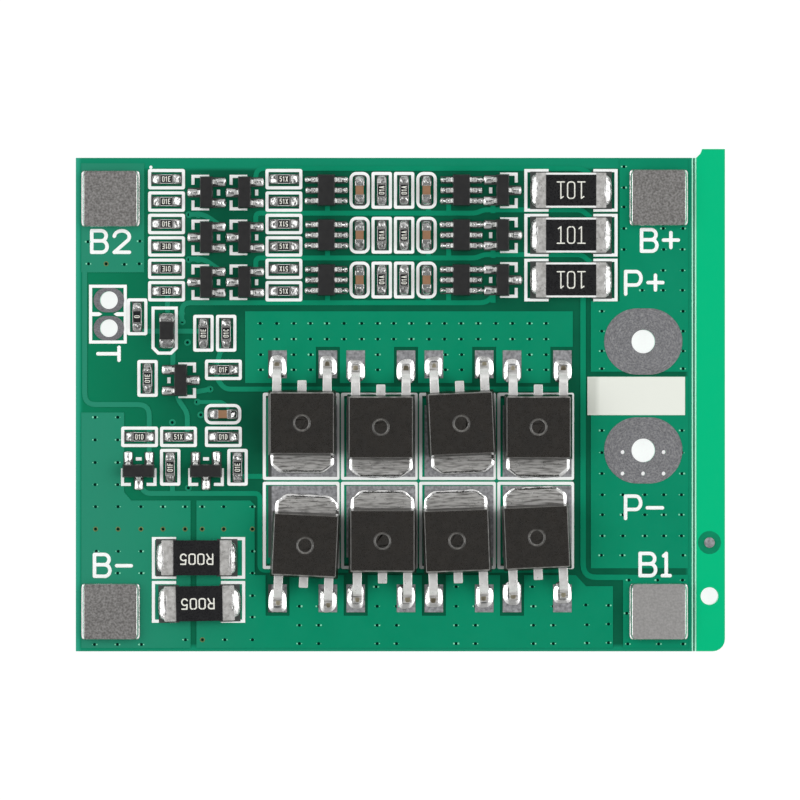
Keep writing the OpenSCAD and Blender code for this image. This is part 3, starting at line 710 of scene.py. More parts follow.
@dataclass(frozen=True)
class LaminateFinish(Finish):
    """Solder mask over bare laminate, brighter on the rail. Painted light and shade: the mask is darker away
    from the left, as in the parts' shade, and paler along the edges and most at the left edge, as where
    light comes in through them.

    The scored groove and the sawn edges show the pale glass-fibre core, with painted shade at the groove's
    bottom.
    """

    # Painted light and shade: this paler colour at the left fades into the darker own colour, which stands
    # for the parts' shade
    left: Colour = linear(10, 122, 86)
    left_fade: Pair = (-28.0 * MM, -16.0 * MM)
    # Painted light along the edges, outside the inner zone
    margin: Colour = linear(16, 137, 103)
    inner: Zone = Zone((-1.45, -0.65), (27.6, 21.75), 0.35)
    # Painted light at the left edge, as where light comes in through it
    strip: Colour = linear(46, 160, 131)
    strip_fade: Pair = (-28.9 * MM, -29.2 * MM)
    rail: Colour = linear(2, 187, 127)
    core: Colour = linear(190, 246, 224)
    # Painted shade at the groove's bottom, between its pale walls
    groove: Colour = linear(84, 150, 124)
    groove_x: float = 26.6 * MM
    groove_half: float = 0.07 * MM
    flat: float = 0.9

    def tone(self, face: Surface) -> Socket:
        """Paints light and shade into the mask by place, and sets the core, with painted shade at the
        groove's bottom, where a face leans or stands.

        Args:
            face: The material's nodes.

        Returns:
            The colour's socket.
        """
        # Painted shade away from the left, and painted light along the edges
        dark = face.blend(face.spread(face.x, *self.left_fade), self.left, face.own)
        base = face.blend(face.inside(self.inner), self.margin, dark)
        base = face.blend(face.spread(face.x, *self.strip_fade), base, self.strip)
        base = face.blend(face.math("GREATER_THAN", face.x, self.groove_x), base, self.rail)
        # Painted shade at the bottom of the groove
        away = face.math("ABSOLUTE", face.math("SUBTRACT", face.x, self.groove_x))
        core = face.blend(face.math("LESS_THAN", away, self.groove_half), self.core, self.groove)
        leaning = face.math("LESS_THAN", face.math("ABSOLUTE", face.tilt()), self.flat)
        return face.blend(leaning, base, core)


@dataclass(frozen=True)
class PourFinish(Finish):
    """Solder mask over copper, a little greyer towards the left edge where the light grazes it."""

    left: Colour = linear(42, 138, 110)
    fade: Pair = (-12 * MM, -27 * MM)

    def tone(self, face: Surface) -> Socket:
        """Lets the colour drift from left to right."""
        return face.blend(face.spread(face.x, *self.fade), face.own, self.left)


@dataclass(frozen=True)
class InkFinish(Finish):
    """White printing ink, with a duller white block that has painted shade, in grey, at its left end."""

    # Zone, weight and colour
    zones: tuple[tuple[Zone, float, Colour], ...] = (
        (Zone((21.35, 0.4), (4.9, 2.0), 0.1), 1.0, linear(234, 237, 228)),
        # Painted shade at the block's left end
        (Zone((17.2, 0.4), (0.9, 2.0), 0.5), 0.7, linear(196, 200, 190)),
    )

    def tone(self, face: Surface) -> Socket:
        """Sets the block and the painted shade at its left end.

        Args:
            face: The material's nodes.

        Returns:
            The colour's socket.
        """
        colour = face.own
        for zone, weight, tint in self.zones:
            colour = face.blend(face.math("MULTIPLY", face.inside(zone), weight), colour, tint)
        return colour


@dataclass(frozen=True)
class LandFinish(Finish):
    """Tin-levelled land: dull grey with rings of fine scratches round the two load holes."""

    holes: tuple[Pair, ...] = ((22.0 * MM, 5.31 * MM), (22.0 * MM, -4.55 * MM))
    # Distances from a hole's middle at which the scratches start and are full
    reach: Pair = (4.2 * MM, 3.36 * MM)
    scratch: Colour = (0.62, 0.62, 0.61)
    scratch_scale: float = 7000.0
    # Values of the noise where a scratch starts and is full, and its weight at both
    scratch_range: tuple[float, ...] = (0.45, 0.75, 0.0, 0.55)
    # How slowly a scratch changes along its way round, in metres for each radian
    slowness: float = 0.0012

    def tone(self, face: Surface) -> Socket:
        """Runs streaks round each hole: noise over radius and, far more slowly, over angle.

        Args:
            face: The material's nodes.

        Returns:
            The colour's socket.
        """
        colour = face.own
        for hole in self.holes:
            offset = face.vector_math("SUBTRACT", face.vector, (*hole, 0))
            x, y, z = face.axes(offset)
            angle = face.math("MULTIPLY", face.math("ARCTAN2", y, x), self.slowness)
            radius = face.vector_math("LENGTH", face.vector_math("MULTIPLY", offset, (1, 1, 0)))
            polar = face.add("CombineXYZ", {0: radius, 1: angle, 2: z}).outputs[0]
            streak = face.spread(face.noise(polar, self.scratch_scale), *self.scratch_range)
            near = face.spread(radius, *self.reach)
            colour = face.blend(face.math("MULTIPLY", streak, near), colour, self.scratch)
        return colour


@dataclass(frozen=True)
class SmallLandFinish(Finish):
    """Tinned lands: pale by the power transistors and on the rail, and dark with painted shade under small
    parts.
    """

    # Painted shade of the lands under the small parts
    dark: Colour = (0.1, 0.11, 0.105)
    power: Zone = Zone((2.9, -9.0), (14.6, 14.0), 0.1)
    rail_x: float = 26.6 * MM

    def tone(self, face: Surface) -> Socket:
        """Sets the two pale zones. Elsewhere the lands are dark with painted shade."""
        on_rail = face.math("GREATER_THAN", face.x, self.rail_x)
        return face.blend(face.math("MAXIMUM", face.inside(self.power), on_rail), self.dark, face.own)


@dataclass(frozen=True)
class PlateFinish(Finish):
    """Nickel strip: dull and speckled, the one at the lower right paler."""

    pale: Colour = (0.66, 0.65, 0.64)
    paleness: float = 0.42
    corner: Zone = Zone((23.35, -19.1), (3.4, 3.4), 0.2)

    def tone(self, face: Surface) -> Socket:
        """Sets the paler plate."""
        weak = face.math("MULTIPLY", face.inside(self.corner), self.paleness)
        return face.blend(weak, face.own, self.pale)


@dataclass(frozen=True)
class FrameFinish(Finish):
    """Tinned lead frame: bright where its leads stand up, dull and streaked on the low tab and feet."""

    low: Colour = (0.6, 0.59, 0.57)
    streak: Colour = (0.17, 0.165, 0.155)
    streak_scale: float = 5600.0
    streak_range: Pair = (0.44, 0.68)
    drawn: Triple = (0.14, 1.0, 1.0)
    dull_below: float = 1.82 * MM
    bright_above: float = 1.95 * MM

    def tone(self, face: Surface) -> Socket:
        """Runs streaks across the tab, and fades them out by height.

        Args:
            face: The material's nodes.

        Returns:
            The colour's socket.
        """
        lowness = face.spread(face.z, self.bright_above, self.dull_below)
        drawn = face.add("Mapping", {"Vector": face.vector, "Scale": self.drawn}).outputs[0]
        streaks = face.spread(face.noise(drawn, self.streak_scale, detail=3.0), *self.streak_range)
        return face.blend(lowness, face.own, face.blend(streaks, self.low, self.streak))


@dataclass(frozen=True)
class GullFinish(Finish):
    """Small leads: bright on the shoulder and the foot, with painted shade where they drop between the two.
    """

    # Painted shade on the drop
    shade: Colour = (0.07, 0.075, 0.07)
    heel: Pair = (1.46 * MM, 1.5 * MM)
    knee: Pair = (1.8 * MM, 1.72 * MM)

    def tone(self, face: Surface) -> Socket:
        """Paints shade on the drop, from the heel up to the knee."""
        drop = face.math("MULTIPLY", face.spread(face.z, *self.heel), face.spread(face.z, *self.knee))
        return face.blend(drop, face.own, self.shade)


@dataclass(frozen=True)
class MouldingFinish(Finish):
    """Moulded epoxy with a painted highlight, in patches, on its rounded edges, and whose upright faces are
    matt.
    """

    # Painted highlight on the rounded edges
    worn: Colour = (0.3, 0.29, 0.27)
    wear_scale: float = 1400.0
    # Values of the noise for the least and the most painted highlight, and those two
    wear_range: tuple[float, ...] = (0.35, 0.6, 0.3, 1.0)
    # Upward parts of the normal: where the painted highlight fades out on flat and on upright faces, where
    # shine returns
    off_flat: Pair = (0.985, 0.9)
    off_side: Pair = (0.25, 0.45)
    off_matt: Pair = (0.15, 0.4)
    matt: float = 0.25

    def tone(self, face: Surface) -> Socket:
        """Paints a highlight, in patches, where a face is neither flat nor upright.

        Args:
            face: The material's nodes.

        Returns:
            The colour's socket.
        """
        tilt = face.tilt()
        rounded = face.math("MULTIPLY", face.spread(tilt, *self.off_flat), face.spread(tilt, *self.off_side))
        patchy = face.spread(face.noise(face.vector, self.wear_scale), *self.wear_range)
        # Painted highlight, in patches, on the rounded edges
        return face.blend(face.math("MULTIPLY", rounded, patchy), face.own, self.worn)

    def sheen(self, face: Surface) -> dict[str, Socket]:
        """Takes most of the shine from upright faces.

        Args:
            face: The material's nodes.

        Returns:
            The shader's two inputs that carry the shine.
        """
        tilt = face.tilt()
        full = {"Specular IOR Level": self.specular, "Coat Weight": self.coat}
        return {
            entry: face.spread(tilt, *self.off_matt, self.matt * most, most) for entry, most in full.items()
        }


FINISHES: dict[str, Finish] = {
    "laminate": LaminateFinish(
        "mask_on_laminate", linear(7, 97, 69), linear(4, 84, 60), 0.3, 0.4, specular=0.12,
        mottle_scale=180.0, mottle=0.8, grain_scale=2600.0, bump=0.05, relief=0.006 * MM,
    ),
    "masked_copper": PourFinish(
        "mask_on_copper", linear(6, 135, 99), linear(12, 140, 104), 0.3, 0.42, specular=0.12,
        mottle_scale=260.0, mottle=0.7, grain_scale=2600.0, bump=0.06, relief=0.006 * MM,
    ),
    "tinned_land": LandFinish(
        "levelled_tin", (0.34, 0.34, 0.36), (0.16, 0.16, 0.17), 0.32, 0.5, metallic=0.6,
        mottle_scale=9000.0, mottle=0.9, grain_scale=9000.0, bump=0.5, relief=0.012 * MM,
    ),
    "ink": InkFinish(
        "white_ink", linear(253, 255, 254), linear(242, 246, 242), 0.55, 0.7, specular=0.3,
        mottle_scale=400.0, mottle=0.5, grain_scale=4000.0, bump=0.05, relief=0.006 * MM,
    ),
    "cell_plate": PlateFinish(
        "dull_nickel", (0.38, 0.37, 0.36), (0.155, 0.148, 0.142), 0.35, 0.5, metallic=0.6,
        mottle_scale=5200.0, mottle=0.9, grain_scale=9000.0, coarse=0.2, bump=0.8, relief=0.015 * MM,
    ),
    "solder": Finish(
        "reflowed_solder", (0.93, 0.93, 0.92), (0.74, 0.74, 0.72), 0.1, 0.2, metallic=1.0,
        mottle_scale=2500.0, mottle=0.6, grain_scale=3600.0, bump=0.6, relief=0.07 * MM,
    ),
    "moulding": MouldingFinish(
        "matt_epoxy", linear(29, 26, 22), linear(37, 33, 28), 0.24, 0.36, specular=1.0, coat=0.5,
        mottle_scale=900.0, mottle=0.7, grain_scale=9000.0, coarse=0.25, bump=0.5, relief=0.012 * MM,
    ),
    "small_moulding": Finish(
        "small_matt_epoxy", linear(24, 24, 25), linear(32, 32, 32), 0.3, 0.45, specular=0.7,
        mottle_scale=1600.0, mottle=0.7, grain_scale=12000.0, coarse=0.25, bump=0.5, relief=0.008 * MM,
    ),
    "lead": FrameFinish(
        "tinned_frame", (0.95, 0.95, 0.93), (0.72, 0.71, 0.69), 0.26, 0.42, metallic=0.4,
        mottle_scale=1500.0, mottle=0.7, grain_scale=6000.0, bump=0.5, relief=0.015 * MM,
    ),
    "ceramic": Finish(
        "white_alumina", linear(250, 251, 250), linear(236, 238, 236), 0.4, 0.55,
        mottle_scale=2500.0, mottle=0.5, grain_scale=9000.0, bump=0.15, relief=0.006 * MM,
    ),
    "glaze": Finish(
        "black_glaze", linear(28, 28, 30), linear(36, 36, 37), 0.22, 0.36, specular=0.4,
        mottle_scale=1300.0, mottle=0.7, grain_scale=5000.0, bump=0.12, relief=0.006 * MM,
    ),
    "chip_end": Finish(
        "tinned_end", (0.78, 0.77, 0.75), (0.42, 0.41, 0.39), 0.25, 0.42, metallic=0.45,
        mottle_scale=2200.0, mottle=0.8, grain_scale=5200.0, bump=0.5, relief=0.025 * MM,
    ),
    "capacitor": Finish(
        "tan_ceramic", linear(149, 113, 84), linear(138, 102, 74), 0.35, 0.5,
        mottle_scale=1500.0, mottle=0.6, grain_scale=9000.0, bump=0.12, relief=0.006 * MM,
    ),
}  # fmt: skip

WETTED_LEAD = GullFinish(
    "wetted_lead", (0.95, 0.95, 0.93), (0.7, 0.7, 0.68), 0.12, 0.25, metallic=0.5,
    mottle_scale=2500.0, mottle=0.7, grain_scale=3600.0, bump=0.7, relief=0.07 * MM,
)  # fmt: skip
SMALL_LAND = SmallLandFinish(
    "small_land", (0.5, 0.5, 0.52), (0.22, 0.22, 0.23), 0.3, 0.48, metallic=0.5,
    mottle_scale=3200.0, mottle=0.9, grain_scale=5200.0, bump=0.6, relief=0.02 * MM,
)  # fmt: skip
WETTED_END = Finish(
    "wetted_end", (0.92, 0.92, 0.9), (0.6, 0.6, 0.58), 0.14, 0.26, metallic=0.85,
    mottle_scale=3200.0, mottle=0.8, grain_scale=5000.0, bump=0.7, relief=0.05 * MM,
)  # fmt: skip
# Solder of the chips: grey, and its strong dark patches are painted reflection, standing in for the dark
# things it mirrors
CHIP_SOLDER = Finish(
    "chip_solder", (0.76, 0.76, 0.75), (0.24, 0.24, 0.235), 0.1, 0.22, metallic=1.0,
    mottle_scale=2300.0, mottle=0.9, grain_scale=3600.0, bump=0.8, relief=0.09 * MM,
)  # fmt: skip
# Nodes whose finish differs from that of the other pieces in their slot
OWN_FINISH: dict[str, Finish] = {
    "chip_resistor_ends": WETTED_END,
    "capacitor_ends": WETTED_END,
    "diode_ends": WETTED_END,
    "tinned_lands": SMALL_LAND,
    "transistor_leads": WETTED_LEAD,
    "monitor_leads": WETTED_LEAD,
}
# Painted shade: the dark colour of the discs over the vias' bores
VIA_BORE_SHADE = Finish(
    "painted_bore_shade", linear(5, 44, 34), linear(2, 24, 18), 0.5, 0.6, specular=0.0,
    mottle_scale=4000.0, grain_scale=9000.0, bump=0.1,
)  # fmt: skip
VIA_TAN = Finish(
    "via_tan", linear(112, 128, 78), linear(80, 112, 70), 0.35, 0.5, specular=0.3,
    mottle_scale=6000.0, grain_scale=9000.0, bump=0.1,
)  # fmt: skip
CLEARANCE = Finish(
    "clearance_mask", linear(14, 138, 98), linear(8, 126, 90), 0.3, 0.4, specular=0.12,
    mottle_scale=900.0, grain_scale=2600.0, bump=0.05,
)  # fmt: skip
# Painted glints: the pale colour of the two discs beside each via
VIA_GLINT = Finish(
    "painted_via_glint", linear(140, 226, 190), linear(96, 200, 160), 0.15, 0.3, specular=0.6,
    mottle_scale=4000.0, grain_scale=9000.0, bump=0.1,
)  # fmt: skip
BARE_TIP = Finish(
    "bare_tip", (0.42, 0.38, 0.28), (0.14, 0.12, 0.08), 0.3, 0.45, metallic=0.6,
    mottle_scale=420.0, mottle=1.0, grain_scale=5200.0, bump=0.5, relief=0.02 * MM,
)  # fmt: skip
CODE_INK = Finish(
    "code_ink", linear(240, 240, 230), linear(222, 222, 212), 0.5, 0.65, specular=0.3,
    mottle_scale=5000.0, mottle=0.7, grain_scale=9000.0, bump=0.1, relief=0.004 * MM,
)  # fmt: skip


# ------------------------------------------------------------------ frame pieces


class Edge(Enum):
    """How far the sharp edges of a slot's pieces are eased."""

    MOULDING = 0.1 * MM
    SMALL_MOULDING = 0.06 * MM
    LEAD = 0.07 * MM
    CHIP_END = 0.06 * MM
    CELL_PLATE = 0.06 * MM
    GLAZE = 0.03 * MM
    CERAMIC = 0.03 * MM
    CAPACITOR = 0.05 * MM
    INK = 0.0
    LAMINATE = 0.0
    MASKED_COPPER = 0.0
    TINNED_LAND = 0.0
    SOLDER = 0.0


@dataclass
class FramePieces:
    """The pieces that come from the frame, with their finishes and eased edges."""

    weld: float = 0.0005 * MM
    segments: int = 3
    # Least angle between two faces whose edge is eased, in radians
    limit: float = 0.6
    # Edges wider than this would be held back by the pieces' short facets
    unclamped: float = 0.095 * MM

    def build(self, finishes: dict[str, Material]) -> None:
        """Gives every node its finish and eases its edges.

        Args:
            finishes: Material of each slot.
        """
        own = {finish: finish.material() for finish in dict.fromkeys(OWN_FINISH.values())}
        for entry in frame["record"]["subparts"]:
            node = frame["nodes"][entry["node"]]
            slot = entry["material_slot"]
            node.data.materials.clear()
            node.data.materials.append(own.get(OWN_FINISH.get(entry["node"]), finishes[slot]))
            if Edge[slot.upper()].value > 0:
                self.ease(node, Edge[slot.upper()].value)

    def ease(self, node: bpy.types.Object, width: float) -> None:
        """Welds a node's facets and rounds its sharp edges with live modifiers.

        Args:
            node: The node's object.
            width: Width of the rounding.
        """
        weld = node.modifiers.new("weld", "WELD")
        weld.merge_threshold = self.weld
        bevel = node.modifiers.new("ease", "BEVEL")
        bevel.width = width
        bevel.segments = self.segments
        bevel.limit_method = "ANGLE"
        bevel.angle_limit = self.limit
        bevel.harden_normals = False
        bevel.use_clamp_overlap = width < self.unclamped


# ------------------------------------------------------------------ solder


@dataclass
class Joints(ABC):
    """Solder joints in place of a node's plain solids, each pointing away from the body it belongs to."""

    node: str
    bodies: tuple[str, ...]
    name: str
    # How much a joint is longer than the plain solid, at the body and away from it, and how much wider
    inner: float = 0.0
    outer: float = 0.14 * MM
    widen: float = 1.12

    def build(self, material: Material) -> None:
        """Builds one joint in place of each of the node's solids.

        Args:
            material: The solder's material.
        """
        boxes = islands(self.node)
        bodies = np.concatenate([islands(body) for body in self.bodies])
        heading = headings(boxes, bodies)
        along_x = np.abs(heading[:, 0]) > 0.5
        size = boxes[:, 1] - boxes[:, 0]
        length = np.where(along_x, size[:, 0], size[:, 1])
        width = np.where(along_x, size[:, 1], size[:, 0])
        start = boxes.mean(axis=1)
        start[:, :2] -= heading * (length / 2 + self.inner)[:, None]
        start[:, 2] = boxes[:, 0, 2]
        height = self.heights(boxes, bodies)
        rings = self.rings(length + self.inner + self.outer, width * self.widen, height)
        shell = Shell()
        shell.tubes(turn(rings, heading[:, None, None, :]) + start[:, None, None, :])
        shell.piece(self.name, "solder", material, [self.node])

    @abstractmethod
    def heights(self, boxes: Array, bodies: Array) -> Array:
        """Measures how high each joint stands above its land.

        Args:
            boxes: Boxes of the plain solids, shape (joints, 2, 3).
            bodies: Boxes of the bodies, shape (bodies, 2, 3).

        Returns:
            The heights.
        """

    @abstractmethod
    def rings(self, length: Array, wide: Array, height: Array) -> Array:
        """Shapes the joints in their own axes, each running along X from the body's side.

        Args:
            length: Their lengths.
            wide: Their widths.
            height: Their heights.

        Returns:
            Rings of points, shape (joints, slices, points, 3).
        """


@dataclass
class EndFillets(Joints):
    """Solder drawn up the ends of chips: a hollow curve from the end face down to the land's edge.

    Its section starts on the chip's end, swells a little, falls ever faster and ends at the land.
    Across it the outline is the root of 1 - |v|^p, which shortens and lowers the sides.
    """

    cover: float = 0.14 * MM
    bulge: float = 0.03 * MM
    # Power of the plan's outline across the fillet: more is squarer
    square: float = 6.0
    slices: int = 21
    # Height of the ripples, their turns along and across, and those of slanting ones with their share
    ripple: float = 0.045 * MM
    waves: Pair = (5.0, 3.0)
    slanting: Triple = (4.0, 4.6, 0.6)
    ripple_end: float = 1.3
    seed: int = 3
    # Least and most share of the length and width that a fillet may have, and what full ones stop at
    lots: Pair = (0.86, 1.1)
    most: Pair = (1.0, 1.02)
    # Over the chip's end: places, in shares of the cover, and heights, in shares of the bulge
    over: Profile = (-1.0, -0.78, -0.35, -0.08)
    swell: Profile = (-0.3, 0.9, 0.7, 0.1)
    # Out to the toe: places, in shares of the length, and falls, in shares of the height
    out: Profile = (0.1, 0.33, 0.55, 0.73, 0.84, 0.92, 1.0)
    fall: Profile = (0.06, 0.15, 0.26, 0.37, 0.55, 0.78, 1.0)
    # Shares of the reach and the height that the sides keep, and how much narrower the toe is
    side_reach: float = 0.4
    side_height: float = 0.25
    taper: float = 0.14
    # Share of the length past which nothing dips under the land
    toe: float = 0.731

    def heights(self, boxes: Array, bodies: Array) -> Array:
        """Measures how high the nearest chip's end stands above the land.

        Args:
            boxes: Boxes of the plain solids.
            bodies: Boxes of the chips' ends.

        Returns:
            The heights.
        """
        gaps = np.linalg.norm(boxes.mean(axis=1)[:, None] - bodies.mean(axis=1)[None], axis=-1)
        return bodies[np.argmin(gaps, axis=1)][:, 1, 2] - boxes[:, 0, 2]

    def rings(self, length: Array, wide: Array, height: Array) -> Array:
        """Shapes the fillets.

        Args:
            length: Their lengths.
            wide: Their widths.
            height: Heights of the ends above the land.

        Returns:
            Rings of points.
        """
        count = len(length)
        random = np.random.default_rng(self.seed)
        lots = np.minimum(random.uniform(*self.lots, (count, 2)), self.most)
        phase = random.uniform(0, 2 * np.pi, (3, count, 1, 1))
        across = np.linspace(-1, 1, self.slices)[None, :, None]
        edge = np.sqrt(np.clip(1 - np.abs(across) ** self.square, 0, 1))
        over = np.broadcast_to(np.array(self.over) * self.cover, (count, len(self.over)))
        reach = np.concatenate([over, np.array(self.out) * (length * lots[:, 0])[:, None]], 1)[:, None]
        crest = height[:, None] + np.array(self.swell) * self.bulge
        slope = height[:, None] * (1 - np.array(self.fall))
        gone = reach / length[:, None, None]
        ahead = reach * np.where(reach > 0, self.side_reach + (1 - self.side_reach) * edge, 1.0)
        narrow = 1 - self.taper * np.clip(gone, 0, 1) ** 2
        side = across * narrow * (wide / 2 * lots[:, 1])[:, None, None]
        tall = np.concatenate([crest, slope], 1)[:, None] * (self.side_height + (1 - self.side_height) * edge)
        # Ripples that die out at the toe, as in solder that froze unevenly
        waves = np.sin(self.waves[0] * gone + phase[0]) * np.cos(self.waves[1] * across + phase[1])
        onward, sideways, share = self.slanting
        waves = waves + share * np.sin(sideways * across - onward * gone + phase[2])
        tall = tall + self.ripple * waves * np.clip(self.ripple_end * (1 - gone), 0, 1)
        tall = np.where(gone >= self.toe, np.clip(tall, 0, None), tall)
        top = np.stack([ahead, side, tall], -1)[:, ::-1]
        return np.concatenate([top, top[:, :, -2::-1] * [1, 1, 0]], 2)


@dataclass
class LeadPools(Joints):
    """Solder of the small packages: narrow where a lead leaves its body and flared over the land.

    A plan along u stands under an arch of 1 - |v|^1.5 across it.
    """

    node: str = "lead_solder"
    bodies: tuple[str, ...] = ("transistor_bodies", *(f"monitor_circuit_{i}" for i in range(1, 7)))
    name: str = "lead_solder_shape"
    inner: float = 0.06 * MM
    outer: float = 0.17 * MM
    widen: float = 1.03
    slices: int = 17
    arc: int = 11
    raise_by: float = 1.1
    # Share of the width at the body, and where along the pool the flare is full
    neck: float = 0.84
    crest: float = 0.62
    # Pools narrower than this have a waist
    slim: float = 0.75 * MM
    # Half turns of the cosine that spaces the slices, and where the outline starts to round off
    span: Pair = (0.06, 0.97)
    toe: float = 0.8
    # Height of the ripples, and their turns along and across
    ripple: float = 0.16
    waves: Pair = (7.0, 2.0)
    # Least and most share of the length, the width and the height
    lots: tuple[Profile, Profile] = ((0.94, 0.9, 0.8), (1.0, 1.05, 1.1))
    seed: int = 11
    # Places along the pool and the height there, for a wide pool and for one with a waist
    full: tuple[Profile, Profile] = ((0, 0.18, 0.4, 0.62, 0.8, 0.93, 1), (0.5, 0.86, 0.82, 1, 0.86, 0.5, 0.1))
    notched: tuple[Profile, Profile] = (
        (0, 0.1, 0.3, 0.55, 0.74, 0.88, 0.96, 1),
        (0.7, 0.85, 0.6, 0.95, 1.15, 0.9, 0.5, 0.1),
    )
    # Places along a pool with a waist, and the width there
    waist: tuple[Profile, Profile] = ((0, 0.15, 0.36, 0.6, 0.8, 1), (0.62, 0.66, 0.66, 0.9, 1.02, 1))

    def heights(self, boxes: Array, bodies: Array) -> Array:
        """Makes the pools a little higher than the plain solids."""
        return (boxes[:, 1] - boxes[:, 0])[:, 2] * self.raise_by

    def rings(self, length: Array, wide: Array, height: Array) -> Array:
        """Shapes the pools.

        Args:
            length: Their lengths.
            wide: Their widths.
            height: Their heights.

        Returns:
            Rings of points.
        """
        u = (1 - np.cos(np.linspace(*self.span, self.slices) * np.pi)) / 2
        v = np.linspace(-1, 1, self.arc)
        flare = np.clip(u / self.crest, 0, 1)
        flare = self.neck + (1 - self.neck) * flare**2 * (3 - 2 * flare)
        rounded = np.clip(1 - np.clip((u - self.toe) / (1 - self.toe), 0, 1) ** 2.6, 0.02, 1) ** 0.5
        bow_tie = (wide < self.slim)[:, None]
        swell = np.where(bow_tie, np.interp(u, *self.notched), np.interp(u, *self.full))[..., None]
        plan = (np.where(bow_tie, np.interp(u, *self.waist), flare) * rounded)[..., None]
        draw_lots = np.random.default_rng(self.seed)
        phase = draw_lots.uniform(0, 2 * np.pi, (2, len(wide), 1, 1))
        arch = swell * (1 - np.abs(v) ** 1.5) ** 0.85
        waves = np.sin(self.waves[0] * u[:, None] + phase[0]) * np.cos(self.waves[1] * v + phase[1])
        tall = arch * (1 + self.ripple * waves)
        top = np.stack(np.broadcast_arrays(u[:, None], plan * v, tall), -1)
        foot = top[:, :, ::-1] * [1, 1, 0]
        scale = np.stack([length, wide / 2, height], -1)
        scale = scale * draw_lots.uniform(*self.lots, scale.shape)
        return np.concatenate([top, foot[:, :, 1:-1]], 2) * scale[:, None, None]


